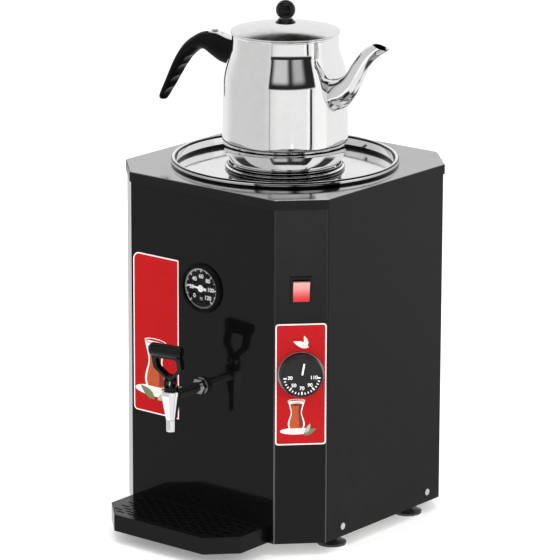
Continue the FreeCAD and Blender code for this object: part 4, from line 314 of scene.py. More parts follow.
# %% Group helpers
def new_group(name, **inputs):
    """A node group with named inputs; returns it and the sockets of its inputs."""
    group = bpy.data.node_groups.new(name, "ShaderNodeTree")
    for label, value in inputs.items():
        kind = "NodeSocketVector" if isinstance(value, tuple) else "NodeSocketFloat"
        group.interface.new_socket(name=label, in_out="INPUT", socket_type=kind).default_value = value
    return group, group.nodes.new("NodeGroupInput").outputs


def put_out(group, label, result):
    """Give a group its one output."""
    group.interface.new_socket(name=label, in_out="OUTPUT", socket_type="NodeSocketFloat")
    group.links.new(result, group.nodes.new("NodeGroupOutput").inputs[label])
    return group


# %% Wear lines
def wear_lines_group():
    """Fine lines along one direction, as left by brushing or wiping."""
    group, given = new_group("wear_lines", Stretch=(1.0, 1.0, 40.0), Scale=60.0, Contrast=0.5)
    stretched = add_node(group, "VectorMath", place_in_object(group), given["Stretch"], operation="MULTIPLY")
    grey = noise(group, stretched.outputs[0], given["Scale"], Detail=6.0, Roughness=0.6)
    half = calc(group, "MULTIPLY", given["Contrast"], 0.4)
    low, high = calc(group, "SUBTRACT", 0.5, half), calc(group, "ADD", 0.5, half)
    return put_out(group, "Lines", remap(group, grey, low, high, kind="SMOOTHSTEP"))


# %% Smudges
def smudges_group():
    """Large soft patches with smaller ones inside, as on a wiped surface."""
    group, given = new_group("smudges", Scale=9.0, Amount=1.0)
    where = place_in_object(group)
    large = noise(group, where, given["Scale"], Detail=3.0, Roughness=0.55, Distortion=0.6)
    fine = noise(group, where, calc(group, "MULTIPLY", given["Scale"], 7.0), Detail=8.0, Roughness=0.65)
    patches = remap(group, calc(group, "MULTIPLY", large, fine), 0.12, 0.42)
    return put_out(group, "Mask", calc(group, "MULTIPLY", patches, given["Amount"]))


# %% Fine grain
def grain_group():
    """Tiny even bumps: orange peel in paint, or the skin of moulded plastic."""
    group, given = new_group("fine_grain", Scale=900.0, Waviness=0.5)
    where = place_in_object(group)
    fine = noise(group, where, given["Scale"], Detail=2.0, Roughness=0.5)
    slow = noise(group, where, calc(group, "MULTIPLY", given["Scale"], 0.12), Detail=1.0)
    waves = calc(group, "MULTIPLY", slow, given["Waviness"])
    return put_out(group, "Height", calc(group, "ADD", fine, waves))


# %% Settled dust
def dust_group():
    """A light film where a surface faces up, broken by noise."""
    group, given = new_group("settled_dust", Scale=30.0, Amount=0.3)
    upward = height_of(group, add_node(group, "NewGeometry").outputs["Normal"])
    grey = noise(group, place_in_object(group), given["Scale"], Detail=7.0, Roughness=0.7)
    broken = calc(group, "MULTIPLY", remap(group, upward, 0.3, 1.0), grey)
    return put_out(group, "Mask", calc(group, "MULTIPLY", broken, given["Amount"]))


WEAR_LINES = wear_lines_group()
SMUDGES = smudges_group()
GRAIN = grain_group()
DUST = dust_group()
print("effects:", ", ".join(g.name for g in (WEAR_LINES, SMUDGES, GRAIN, DUST)))

# %% [markdown]
# ## Finishes
# Every finish is one Principled shader. Its base values are numbers on the shader
# itself, and the effects above only move colour, roughness and bump a little round
# them, the way a real surface is never quite the same all over.

# %% Material helper
def new_finish(name, colour, rough, metal=0.0, **shader):
    """A material with a Principled shader; returns the material, its tree and shader."""
    finish = bpy.data.materials.new(name)
    finish.use_nodes = True
    tree = finish.node_tree
    surface = tree.nodes["Principled BSDF"]
    surface.inputs["Base Color"].default_value = (*colour, 1)
    surface.inputs["Roughness"].default_value = rough
    surface.inputs["Metallic"].default_value = metal
    for label, value in shader.items():
        surface.inputs[label.replace("_", " ")].default_value = value
    return finish, tree, surface


def place_group(tree, group, **values):
    """Place a shared effect with its own values and return what it puts out."""
    node = tree.nodes.new("ShaderNodeGroup")
    node.node_tree = group
    for label, value in values.items():
        node.inputs[label].default_value = value
    return node.outputs[0]


def vary(tree, mask, socket, low, high):
    """Let a mask from 0 to 1 move a number on the shader from low to high."""
    tree.links.new(remap(tree, mask, 0.0, 1.0, low, high), socket)


def tint(tree, mask, surface, low, high):
    """Let a mask mix two colours into the base colour."""
    mix = add_node(tree, "Mix", Factor=mask, A=(*low, 1), B=(*high, 1), data_type="RGBA")
    tree.links.new(mix.outputs["Result"], surface.inputs["Base Color"])
    return mix


def bump(tree, height, surface, strength, depth):
    """Bump on the shader's normal; depth in millimetres."""
    node = add_node(tree, "Bump", Strength=strength, Distance=depth * MM, Height=height)
    tree.links.new(node.outputs["Normal"], surface.inputs["Normal"])


# %% Paint and plastic
def painted(name, colour, rough, dusty=0.25, peel=0.12, specular=0.3):
    """Sprayed sheet metal: faint orange peel, smudged gloss and a little dust."""
    finish, tree, surface = new_finish(name, colour, rough, Specular_IOR_Level=specular)
    vary(tree, place_group(tree, SMUDGES, Scale=7.0, Amount=1.0), surface.inputs["Roughness"], rough * 0.8,
         rough * 1.5)
    dust = place_group(tree, DUST, Scale=24.0, Amount=dusty)
    tint(tree, dust, surface, colour, tuple(min(1, c + 0.02) for c in colour))
    bump(tree, place_group(tree, GRAIN, Scale=700.0, Waviness=1.0), surface, peel, 0.05)
    return finish


def printed(name, colour, rough=0.34):
    """Screen print: as flat as paint gets, and kept clean."""
    return painted(name, colour, rough, dusty=0.05, peel=0.03)


def moulded(name, colour, rough, specular=0.5):
    """Moulded plastic: a fine skin and slightly uneven gloss."""
    finish, tree, surface = new_finish(name, colour, rough, Specular_IOR_Level=specular)
    vary(tree, place_group(tree, SMUDGES, Scale=22.0, Amount=1.0), surface.inputs["Roughness"], rough * 0.75,
         rough * 1.4)
    dust = place_group(tree, DUST, Scale=60.0, Amount=0.2)
    tint(tree, dust, surface, colour, tuple(min(1, c + 0.03) for c in colour))
    bump(tree, place_group(tree, GRAIN, Scale=1500.0, Waviness=0.5), surface, 0.25, 0.02)
    return finish


# %% Paint of the casing
FOLDS = ((107.1, -151.7), (150.0, -108.8))


def casing_paint():
    """Gloss paint with a painted highlight along the two folds of the cut corner, strongest low down."""
    finish = painted("black_gloss_paint", (0.0030, 0.0030, 0.0031), 0.07, specular=0.20)
    tree = finish.node_tree
    surface = tree.nodes["Principled BSDF"]
    where = place_in_object(tree)
    flat = add_node(tree, "VectorMath", where, (1, 1, 0), operation="MULTIPLY").outputs[0]
    # Painted highlight: the colour along each fold is lifted towards grey, most of all below 0.14 m.
    fold_highlights = []
    for x, y in FOLDS:
        away = add_node(tree, "VectorMath", flat, (x * MM, y * MM, 0), operation="DISTANCE").outputs["Value"]
        fold_highlights.append(remap(tree, away, 1.5 * MM, 0.6 * MM, kind="SMOOTHSTEP"))
    low_down = remap(tree, height_of(tree, where), 0.24, 0.14, 0.12)
    strength = calc(tree, "MULTIPLY", calc(tree, "MAXIMUM", *fold_highlights), low_down)
    below = surface.inputs["Base Color"].links[0].from_socket
    mix = tint(tree, strength, surface, (0, 0, 0), (0.085, 0.085, 0.083))
    tree.links.new(below, mix.inputs["A"])
    return finish


black_gloss_paint = casing_paint()
black_paint = painted("black_paint", (0.0050, 0.0050, 0.0052), 0.22, specular=0.18)
tray_paint = painted("tray_paint", (0.0030, 0.0030, 0.0031), 0.15, dusty=0.05, specular=0.19)
plate_red = painted("plate_red", (0.44, 0.006, 0.009), 0.26, dusty=0.02, peel=0.04, specular=0.12)
print_red = painted("print_red", (0.44, 0.004, 0.006), 0.26, dusty=0.02, peel=0.03, specular=0.10)
print_white = printed("print_white", (0.88, 0.85, 0.82))
border_white = printed("border_white", (0.90, 0.80, 0.80))
print_cream = printed("print_cream", (0.80, 0.74, 0.62))
print_tea = printed("print_tea", (0.23, 0.018, 0.010), 0.25)
print_amber = printed("print_amber", (0.46, 0.075, 0.018), 0.25)
print_green = printed("print_green", (0.16, 0.19, 0.09), 0.35)
print_grey = printed("print_grey", (0.42, 0.42, 0.38), 0.35)
grip_black = moulded("grip_black", (0.0040, 0.0040, 0.0042), 0.26, 0.05)
bakelite = moulded("bakelite", (0.0030, 0.0030, 0.0032), 0.12, 0.22)
satin_black = moulded("satin_black", (0.008, 0.008, 0.0085), 0.36, 0.2)
knob_black = moulded("knob_black", (0.012, 0.0125, 0.013), 0.36, 0.30)
foot_glide = moulded("foot_glide", (0.74, 0.74, 0.72), 0.35)
foot_black = moulded("foot_black", (0.010, 0.010, 0.011), 0.20, 0.8)
white_plastic = moulded("white_plastic", (0.80, 0.79, 0.74), 0.45)
dial_black = moulded("dial_black", (0.004, 0.004, 0.0045), 0.40, 0.05)
dial_grey = moulded("dial_grey", (0.10, 0.105, 0.10), 0.40)
mark_white = moulded("mark_white", (0.90, 0.90, 0.88), 0.40)
print("paints and plastics ready")


# %% Metals
def polished(name, colour, rough, stretch=(1.0, 1.0, 30.0), lines=0.35, depth=0.004):
    """Polished metal: clear reflections, a web of hairlines and a few wiped smudges."""
    finish, tree, surface = new_finish(name, colour, rough, metal=1.0)
    smudge = place_group(tree, SMUDGES, Scale=11.0, Amount=1.0)
    vary(tree, smudge, surface.inputs["Roughness"], rough * 0.7, rough * 1.9 + 0.01)
    tint(tree, smudge, surface, colour, tuple(c * 0.93 for c in colour))
    bump(tree, place_group(tree, WEAR_LINES, Stretch=stretch, Scale=90.0, Contrast=0.9), surface, lines, depth)
    return finish


pot_steel = polished("pot_steel", (0.90, 0.90, 0.895), 0.04, lines=0.10, depth=0.002)
top_steel = polished("top_steel", (0.40, 0.40, 0.40), 0.09, stretch=(40.0, 1.0, 1.0), lines=0.2)
lid_steel = polished("lid_steel", (0.86, 0.86, 0.86), 0.07, stretch=(40.0, 1.0, 1.0), lines=0.15)
cover_steel = polished("cover_steel", (0.84, 0.84, 0.835), 0.12, lines=0.10, depth=0.002)
chrome = polished("chrome", (0.90, 0.90, 0.91), 0.035, lines=0.08, depth=0.002)
dark_steel = polished("dark_steel", (0.34, 0.34, 0.34), 0.10, lines=0.2)
# Near-black steel that carries painted shade and painted reflections on the boiler's rim and the seat ring.
shade_black_steel = polished("shade_black_steel", (0.015, 0.014, 0.014), 0.16, lines=0.2)
ring_steel = polished("ring_steel", (0.30, 0.27, 0.27), 0.06, lines=0.1)
bright_zinc = polished("bright_zinc", (0.88, 0.88, 0.87), 0.22, stretch=(1.0, 1.0, 1.0), lines=0.3)
zinc_steel = polished("zinc_steel", (0.52, 0.52, 0.50), 0.34, stretch=(1.0, 1.0, 1.0), lines=0.4)
boiler_steel = polished("boiler_steel", (0.62, 0.62, 0.62), 0.25, lines=0.5)
heater_steel = polished("heater_steel", (0.26, 0.23, 0.21), 0.38, lines=0.5)
brass = polished("brass", (0.72, 0.50, 0.20), 0.26)
copper = polished("copper", (0.72, 0.34, 0.20), 0.30)
print("metals ready")


# %% Soft, clear and glowing finishes
def felt_finish():
    """Needled felt: dull, mottled, with fibres standing out of it."""
    finish, tree, surface = new_finish("felt", (0.50, 0.47, 0.42), 0.95)
    patches = place_group(tree, SMUDGES, Scale=40.0, Amount=1.0)
    tint(tree, patches, surface, (0.40, 0.37, 0.33), (0.62, 0.60, 0.55))
    fibres = place_group(tree, WEAR_LINES, Stretch=(1.0, 3.0, 8.0), Scale=160.0, Contrast=0.8)
    bump(tree, fibres, surface, 0.8, 0.6)
    return finish


def rubber_finish():
    """Red silicone rubber: matt, with a faint mottle."""
    finish, tree, surface = new_finish("silicone", (0.50, 0.10, 0.06), 0.55)
    patches = place_group(tree, SMUDGES, Scale=60.0, Amount=1.0)
    tint(tree, patches, surface, (0.46, 0.09, 0.055), (0.56, 0.14, 0.09))
    bump(tree, place_group(tree, GRAIN, Scale=900.0, Waviness=0.4), surface, 0.3, 0.02)
    return finish


def glass_finish():
    """Clear cover glass; its low IOR keeps the dial behind it readable."""
    finish, tree, surface = new_finish("clear_glass", (1, 1, 1), 0.02, Transmission_Weight=1.0, IOR=1.1)
    vary(tree, place_group(tree, SMUDGES, Scale=30.0, Amount=1.0), surface.inputs["Roughness"], 0.0, 0.05)
    return finish


def rocker_finish():
    """Translucent red plastic over a lamp: paler where the light pools at its top."""
    finish, tree, surface = new_finish("rocker_red", (0.60, 0.03, 0.035), 0.16, Subsurface_Weight=0.15,
                                       Emission_Strength=0.12)
    surface.inputs["Subsurface Radius"].default_value = (0.004, 0.001, 0.001)
    lamp_glow = remap(tree, height_of(tree, place_in_object(tree)), 0.3065, 0.3285, kind="SMOOTHSTEP")
    mix = tint(tree, lamp_glow, surface, (0.55, 0.018, 0.022), (0.74, 0.36, 0.33))
    tree.links.new(mix.outputs["Result"], surface.inputs["Emission Color"])
    bump(tree, place_group(tree, GRAIN, Scale=400.0, Waviness=1.0), surface, 0.2, 0.03)
    return finish


felt = felt_finish()
silicone = rubber_finish()
clear_glass = glass_finish()
rocker_red = rocker_finish()
print("finishes:", len(bpy.data.materials))

# %% [markdown]
# ## Finishes for the pieces that keep their solids
# The casing's sheets, the tray and most of the small hardware are right as they are.
# They get their finish in the slots of their objects, and the edges that show get a
# small bevel, which leaves the solid's own mesh alone.

# %% Dress the kept solids
KEPT = {
    black_gloss_paint: "front_shell",
    black_paint: "rear_shell cap_frame",
    tray_paint: "drip_tray drip_grate",
    top_steel: "top_plate",
    zinc_steel: "base_plate foot_nuts boiler_legs thermostat_screws gauge_case thermostat_body "
                "thermostat_shaft knob_screw",
    dark_steel: "tap_nuts tap_washer handle_screw",
    boiler_steel: "boiler_outlet",
    bright_zinc: "case_screws",
    felt: "heat_jacket",
    heater_steel: "heater_element",
    brass: "heater_nuts",
    copper: "gauge_probe thermostat_probe",
    silicone: "heater_gaskets tap_seal_ring tap_seal",
    chrome: "tap_stem lever_pin handle_bracket",
    satin_black: "overheat_cutout switch_frame cable_entry",
    dial_black: "gauge_dial",
    clear_glass: "gauge_glass",
    rocker_red: "switch_rocker",
    plate_red: "control_plate",
    white_plastic: "terminal_block",
}
SOFT_EDGES = {
    "front_shell": 0.6, "rear_shell": 0.6, "cap_frame": 0.8, "drip_tray": 0.6, "tap_nuts": 0.4,
    "tap_washer": 0.3, "switch_frame": 0.5, "switch_rocker": 0.5, "handle_bracket": 0.3, "top_plate": 0.25,
    "tap_stem": 0.3, "case_screws": 0.4, "thermostat_screws": 0.3,
}


def dress(node, finish):
    """Put a finish into every slot of a solid's object, not into its shared mesh."""
    solid = nodes_of[node]
    if not solid.material_slots:
        solid.data.materials.append(None)
    for place in solid.material_slots:
        place.link = "OBJECT"
        place.material = finish


for finish, names in KEPT.items():
    for node in names.split():
        dress(node, finish)
for node, width in SOFT_EDGES.items():
    soften(nodes_of[node], width)
print("dressed solids:", sum(len(names.split()) for names in KEPT.values()))

# %% [markdown]
# ## The boiler's rim, lid and seat ring
# The rim was rolled over from the boiler's own wall, so it is one spun piece with the
# tank. The lid is a flat spun disc, and the seat ring that holds the teapot is pressed
# in two steps. All three are lathe outlines.

# %% Boiler, lid and seat ring
PLATE_TOP, RIM_TOP = 424.0, 431.0
LEDGE, LID_TOP = 416.4, 417.7
# Height of the bands of painted shade at the foot of the rim's outer and inner walls.
SHADE_BAND = 2.6

tank = turned_piece("boiler_shell", [
    (0, 165, 0), (125, 165, 9), (125, LEDGE - 1, 0.6), (129, LEDGE - 1, 0.6), (129, RIM_TOP - 1, 1.5),
    (132.5, RIM_TOP - 1, 1.5), (132.5, PLATE_TOP, 0.2), (133.5, PLATE_TOP, 0.2), (133.5, PLATE_TOP + SHADE_BAND, 0),
    (133.5, RIM_TOP, 2.7), (128, RIM_TOP, 2.7), (128, LID_TOP + SHADE_BAND, 0), (128, LEDGE, 0.8), (124, LEDGE, 0.8),
    (124, 166, 8), (0, 166, 0),
], (boiler_steel, pot_steel, shade_black_steel), AS_DRAWN, "casing", "boiler_tank", 256, 8)
# Dark bands on the rim: painted shade in the gap under the rim and where the lid meets the wall, and painted
# reflections on the rolled top.
for face in tank.data.polygons:
    if face.center.z > LEDGE * MM:
        across, up_high = math.hypot(face.center.x, face.center.y) / MM, face.center.z / MM
        outer_shade_band = across > 133 and up_high < PLATE_TOP + SHADE_BAND
        outer_roll_shade = across > 132.2 and up_high > RIM_TOP - 1.6
        inner_shade_band = 127 < across < 128.5 and up_high < LID_TOP + SHADE_BAND
        inner_roll_shade = across < 129.1 and up_high > RIM_TOP - SHADE_BAND
        face.material_index = 2 if outer_shade_band or outer_roll_shade or inner_shade_band or inner_roll_shade else 1

turned_piece("boiler_cover_disc", [
    (45, LID_TOP - 1, 0.3), (127.6, LID_TOP - 1, 0.3), (127.6, LID_TOP, 0.4), (45, LID_TOP, 0.4),
], lid_steel, AS_DRAWN, "boiler_cover", "boiler_lid", 256, 3)

seat_ring = turned_piece("teapot_seat_ring", [
    (65.6, 0, 0.2), (70, 0, 0.6), (70, 3, 1.2), (67, 4, 0.8), (67, 7, 0.8), (65.6, 7, 0.6),
], (pot_steel, shade_black_steel), upright(z=LID_TOP), "boiler_cover", "teapot_collar", 256)
# The ring's upright faces take painted shade: the shadow gap under the teapot.
for face in seat_ring.data.polygons:
    if abs(face.normal.z) < 0.6:
        face.material_index = 1
print("rim, lid and ring made")

# %% [markdown]
# ## The teapot
# The body is spun steel: a flat foot, a full belly, a soft shoulder and a straight neck
# with a rolled bead. The outline uses the same curves as the solid. The spout and the
# handle are lofts: ovals placed along a line, with a smooth curve run through them.

# %% Teapot outline
POT_BASE, WALL = 418.0, 0.9
BELLY_Z, SHOULDER_Z, NECK_Z = 40, 100, 141
ON_LID = upright(z=POT_BASE)


def bezier(a, b, c, d, steps):
    """Points of a cubic curve, without its last point."""
    found = []
    for s in range(steps):
        t = s / steps
        u = 1 - t
        found.append(tuple(u ** 3 * p + 3 * u * u * t * q + 3 * u * t * t * r + t ** 3 * w
                           for p, q, r, w in zip(a, b, c, d)))
    return found


def pot_side(inset=0.0):
    """The pot's side from its bottom to the top of its neck, as (radius, height)."""
    foot, belly, shoulder, neck = 50.0 - inset, 73.7 - inset, 72.7 - inset, 62.8 - inset
    pull, lean = 0.5523, 12.3
    rise = BELLY_Z - inset
    side = bezier((foot, inset), (foot + pull * (belly - foot), inset), (belly, BELLY_Z - pull * rise),
                  (belly, BELLY_Z), 22)
    side += [(belly + (shoulder - belly) * s / 10, BELLY_Z + (SHOULDER_Z - BELLY_Z) * s / 10)
             for s in range(10)]
    side += bezier((shoulder, SHOULDER_Z), (shoulder, SHOULDER_Z + 1.15 * lean),
                   (neck + 0.32 * lean, NECK_Z - lean), (neck, NECK_Z), 22)
    return side + [(neck, NECK_Z)]


def pot_radius(height):
    """Outer radius of the pot at a height above its bottom."""
    side = pot_side()
    for (r0, z0), (r1, z1) in zip(side, side[1:]):
        if z0 <= height <= z1 and z1 > z0:
            return r0 + (r1 - r0) * (height - z0) / (z1 - z0)
    return side[-1][0] - 0.04 * (height - NECK_Z) if height > NECK_Z else side[0][0]


print("teapot's neck radius:", round(pot_radius(NECK_Z), 1), "mm")

# %% Teapot body
bead = [(62.0 + 1.5 * math.cos(a), 159.5 + 1.5 * math.sin(a))
        for a in (math.radians(d) for d in range(-75, 181, 15))]
outline = [(0, 0)] + pot_side() + [(62.4, 151)] + bead + [(61.1, 157)]
outline += [(r, z) for r, z in reversed(pot_side(WALL))] + [(0, WALL)]
pot_body = make("teapot_shell", spin(outline, 256), pot_steel, ON_LID, "pot", "teapot_body", 50)
print("teapot body faces:", len(pot_body.data.polygons))


# %% Lofts
def smooth_rows(rows, count):
    """Run a smooth curve through rows of numbers and take count rows from it."""
    extended = [[2 * a - b for a, b in zip(rows[0], rows[1])]] + [list(r) for r in rows]
    extended += [[2 * a - b for a, b in zip(rows[-1], rows[-2])]]
    found = []
    for s in range(count):
        place = s / (count - 1) * (len(rows) - 1)
        k = min(int(place), len(rows) - 2)
        t = place - k
        p0, p1, p2, p3 = extended[k:k + 4]
        found.append([0.5 * (2 * b + (c - a) * t + (2 * a - 5 * b + 4 * c - d) * t * t
                             + (3 * b - a - 3 * c + d) * t ** 3) for a, b, c, d in zip(p0, p1, p2, p3)])
    return found


def oval_ring(row, sign, around, inset=0.0):
    """One ring of a loft, from its upper and lower edge points and half width."""
    high_x, high_z, low_x, low_z, half = row
    centre = Vector((sign * (high_x + low_x) / 2, 0, (high_z + low_z) / 2))
    reach = Vector((sign * high_x, 0, high_z)) - centre
    up_way, length = reach.normalized(), reach.length - inset
    ring = []
    for s in range(around):
        a = 2 * math.pi * s / around
        ring.append(centre + up_way * length * math.cos(a) + Vector((0, (half - inset) * math.sin(a), 0)))
    return ring


def skin(rings, close_end=True, close_start=False):
    """Points and faces of a tube through rings of points."""
    around = len(rings[0])
    points = [tuple(p) for ring in rings for p in ring]
    faces = []
    for k in range(len(rings) - 1):
        for s in range(around):
            e = (s + 1) % around
            faces.append((k * around + s, k * around + e, (k + 1) * around + e, (k + 1) * around + s))
    if close_start:
        faces.append(tuple(range(around - 1, -1, -1)))
    if close_end:
        faces.append(tuple(range((len(rings) - 1) * around, len(rings) * around)))
    return points, faces


# %% Spout
SPOUT = [
    (60.0, 112.0, 60.0, 74.0, 14.0), (80.0, 117.5, 86.0, 82.5, 13.5), (92.0, 126.0, 101.0, 97.0, 11.5),
    (102.0, 141.0, 112.5, 117.0, 9.3), (113.6, 154.5, 124.0, 137.5, 8.0), (121.5, 160.5, 136.5, 150.0, 7.5),
    (129.0, 164.0, 149.5, 158.0, 8.0),
]
AROUND = 64


def trim_to_pot(rings, clear):
    """Start each lengthwise line of a loft where it leaves the pot's side."""
    around = len(rings[0])
    lines = []
    for s in range(around):
        line = [ring[s] for ring in rings]
        start = 0
        for k in range(len(line) - 1):
            if math.hypot(line[k].x, line[k].y) < pot_radius(line[k].z) + clear:
                start = k
        low, high = line[start], line[start + 1]
        for _ in range(24):
            middle = (low + high) / 2
            if math.hypot(middle.x, middle.y) < pot_radius(middle.z) + clear:
                low = middle
            else:
                high = middle
        kept = [low] + line[start + 1:]
        lines.append(resample(kept, len(rings)))
    return [[line[k] for line in lines] for k in range(len(rings))]


def resample(line, count):
    """The same line with evenly spaced points."""
    lengths = [0.0]
    for a, b in zip(line, line[1:]):
        lengths.append(lengths[-1] + (b - a).length)
    found = []
    k = 0
    for s in range(count):
        want = lengths[-1] * s / (count - 1)
        while k < len(line) - 2 and lengths[k + 1] < want:
            k += 1
        span = lengths[k + 1] - lengths[k] or 1.0
        found.append(line[k].lerp(line[k + 1], min(1.0, (want - lengths[k]) / span)))
    return found


rows = smooth_rows(SPOUT, 60)
outer, inner = (trim_to_pot([oval_ring(row, 1, AROUND, inset) for row in rows], 0.0) for inset in (0.0, WALL))
spout = make("spout_shell", skin(outer + list(reversed(inner)), close_end=False), pot_steel, ON_LID, "pot",
             "teapot_spout", 60)
print("spout faces:", len(spout.data.polygons))


# %% Seam round the spout
def bead_along(path, radius, sides=10):
    """A thin closed bead that follows a loop of points."""
    count = len(path)
    rings = []
    for k in range(count):
        ahead = (path[(k + 1) % count] - path[k - 1]).normalized()
        aside = ahead.cross(Vector((0, 0, 1))).normalized()
        above = aside.cross(ahead)
        rings.append([path[k] + (aside * math.cos(a) + above * math.sin(a)) * radius
                      for a in (2 * math.pi * s / sides for s in range(sides))])
    return skin(rings + rings[:1], close_end=False)


settle(mesh_object("spout_seam", *bead_along(outer[0], 0.9), pot_steel, 60), ON_LID, "pot")
print("seam follows", len(outer[0]), "points")

# %% Handle
GRIP = [
    (60.0, 141.0, 70.0, 107.0, 9.0), (72.0, 141.5, 82.0, 110.0, 10.0), (85.0, 143.5, 96.0, 112.5, 11.0),
    (100.0, 147.5, 108.0, 118.0, 12.0), (122.0, 145.5, 119.0, 124.0, 12.0), (138.0, 138.0, 130.0, 122.0, 12.0),
    (152.0, 126.5, 143.0, 111.5, 12.0), (165.0, 108.0, 155.0, 97.0, 11.5), (177.5, 83.5, 167.0, 79.0, 10.5),
    (188.5, 62.5, 179.5, 60.0, 8.5), (190.0, 57.0, 183.0, 55.0, 6.0),
]
FINGERS = [(-134.3, 97.4), (-143.4, 86.2), (-153.6, 70.7), (-163.9, 55.2)]
FINGER_RADIUS = 18.0


def press_fingers(point):
    """Push a point of the grip out of the four hollows for the fingers."""
    for x, z in FINGERS:
        away = Vector((point.x - x, point.z - z))
        if away.length < FINGER_RADIUS:
            away = away.normalized() * FINGER_RADIUS
            point = Vector((x + away.x, point.y, z + away.y))
    return point


rings = [[press_fingers(point) for point in oval_ring(row, -1, AROUND)] for row in smooth_rows(GRIP, 150)]
grip = make("handle_grip", skin(trim_to_pot(rings, 2.4)), grip_black, ON_LID, "pot",
            "teapot_handle", 60)
print("handle faces:", len(grip.data.polygons))

# %% [markdown]
# ## The teapot's lid and its knob
# The lid is a shallow dome with a short collar below that keeps it in the neck. The
# knob is a turned ball on a waist and a spread foot.

# %% Teapot lid and knob
LID_BASE, LID_RIM = 579.3, 1.4
LID_RADIUS, DOME_RISE = 64.0, 8.5


def dome(radius, drop=0.0):
    """Height of the lid's top at a radius, or of its underside."""
    bend = (LID_RADIUS ** 2 + DOME_RISE ** 2) / (2 * DOME_RISE)
    return LID_BASE + LID_RIM + DOME_RISE - bend + math.sqrt((bend - drop) ** 2 - radius ** 2)


top_line = [(r, dome(r)) for r in (LID_RADIUS * math.sin(math.pi / 2 * k / 24) for k in range(24))]
edge_line = [(LID_RADIUS, LID_BASE + 1.3), (LID_RADIUS + 0.05, LID_BASE + 0.7), (63.9, LID_BASE + 0.15),
             (63.6, LID_BASE), (60.8, LID_BASE), (60.6, LID_BASE - 0.3), (60.6, LID_BASE - 8),
             (59.8, LID_BASE - 8)]
under_line = [(r, dome(r, 0.8)) for r in (59.8, 50, 40, 30, 20, 10, 0)]
make("teapot_cover", spin(top_line + edge_line + under_line, 256), cover_steel, AS_DRAWN, "pot_cover",
     "teapot_lid", 50)

BALL_RADIUS, BALL_RISE = 11.5, 15.5
ball = [(BALL_RADIUS * math.cos(a), BALL_RISE + BALL_RADIUS * math.sin(a))
        for a in (math.radians(d) for d in range(-48, 90, 6))]
foot_line = rounded([(0, 0, 0), (11.8, 0, 0.4), (11.8, 1.2, 0.5), (9.4, 3.2, 3.0), (7.3, 6.4, 1.5)])
button = make("cover_knob", spin(foot_line + ball + [(0, BALL_RISE + BALL_RADIUS)], 96), bakelite,
              upright(z=589.35), "pot_cover", "lid_knob", 60)
for unmirrored in (button, nodes_of["knob_screw"]):
    unmirrored.visible_glossy = False
print("lid and knob made")

# %% [markdown]
# ## The tap
# The tap's body is a chromed casting: a cone with a flat top, a shank that runs back
# through the front panel, and a nozzle screwed in below. The black lever is a moulded
# loop with a round bar across its top.

# %% Tap body
TAP_Y, TAP_Z = FACE_Y - 55.5, 186.0
AT_TAP = upright(0, TAP_Y, TAP_Z)
SHANK_LONG = 83.2
cone_points, cone_faces = spin(rounded([
    (0, -28, 0), (6.2, -28, 0.5), (11.5, 2, 5.0), (11.5, 7, 0.8), (0, 7, 0),
]), 96)
shank_points, shank_faces = spin(rounded([
    (4, 0, 0.2), (6.5, 0, 0.4), (6.5, SHANK_LONG, 0.4), (4, SHANK_LONG, 0.2),
]), 64)
backwards = Matrix.Translation((0, SHANK_LONG, 0)) @ FRONT
points = cone_points + [tuple(backwards @ Vector(p)) for p in shank_points]
faces = cone_faces + [tuple(i + len(cone_points) for i in f) for f in shank_faces]
make("tap_casting", (points, faces), chrome, AT_TAP, "casing", "tap_body")

turned_piece("tap_mouth", [
    (3.6, -42.2, 0.5), (5.85, -42.2, 0.7), (5.85, -28, 0.4), (4.8, -28, 0.1), (4.8, -22, 0.1), (3.6, -22, 0.2),
], chrome, AT_TAP, "casing", "tap_nozzle", 96)

turned_piece("tap_collar", [
    (2.3, -2, 0.2), (6.95, -2, 0.2), (6.95, 0, 0), (8.6, 0, 0.5), (8.6, 5, 0.9), (2.3, 5, 0.4),
], bakelite, upright(0, TAP_Y, 193), "casing", "tap_bonnet", 96)
print("tap body made")

# %% Valve spring
SPRING_LOW, SPRING_HIGH = 184.0, 191.0
SPRING_RADIUS, WIRE, TURNS = 4.4, 0.4, 3


def coil_rings(steps=144, sides=12):
    """Rings of the wire along the coil."""
    tall = SPRING_HIGH - SPRING_LOW - 2 * WIRE
    found = []
    for s in range(steps + 1):
        a = 2 * math.pi * TURNS * s / steps
        out = Vector((math.cos(a), math.sin(a), 0))
        middle = out * SPRING_RADIUS + Vector((0, 0, WIRE + tall * s / steps))
        found.append([middle + (out * math.cos(b) + Vector((0, 0, math.sin(b)))) * WIRE
                      for b in (2 * math.pi * k / sides for k in range(sides))])
    return found


spring = make("valve_spring", skin(coil_rings(), close_start=True), zinc_steel, upright(0, TAP_Y, SPRING_LOW),
              "casing", "tap_spring", 60)
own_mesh(spring)

# %% Tap lever
PIVOT_Z = 203.0
LEVER_SEAT = upright(0, TAP_Y, PIVOT_Z, 9) @ Matrix.Rotation(math.radians(15), 4, "X")


def ring_plate(name, outer_edge, hole, low, high, finish):
    """A plate with one hole, filled between its two outlines."""
    work = bmesh.new()
    loops = []
    for edge in (outer_edge, hole):
        loop = [work.verts.new((x * MM, low * MM, z * MM)) for x, z in edge]
        for k in range(len(loop)):
            work.edges.new((loop[k], loop[(k + 1) % len(loop)]))
        loops.append(loop)
    bmesh.ops.triangle_fill(work, edges=work.edges[:], use_beauty=True, use_dissolve=True)
    solid = bmesh.ops.extrude_face_region(work, geom=work.faces[:])
    moved = [item for item in solid["geom"] if isinstance(item, bmesh.types.BMVert)]
    bmesh.ops.translate(work, verts=moved, vec=(0, (high - low) * MM, 0))
    bmesh.ops.recalc_face_normals(work, faces=work.faces)
    data = bpy.data.meshes.new(name)
    work.to_mesh(data)
    work.free()
    data.shade_smooth()
    data.set_sharp_from_angle(angle=math.radians(40))
    data.materials.append(finish)
    return add_object(name, data)


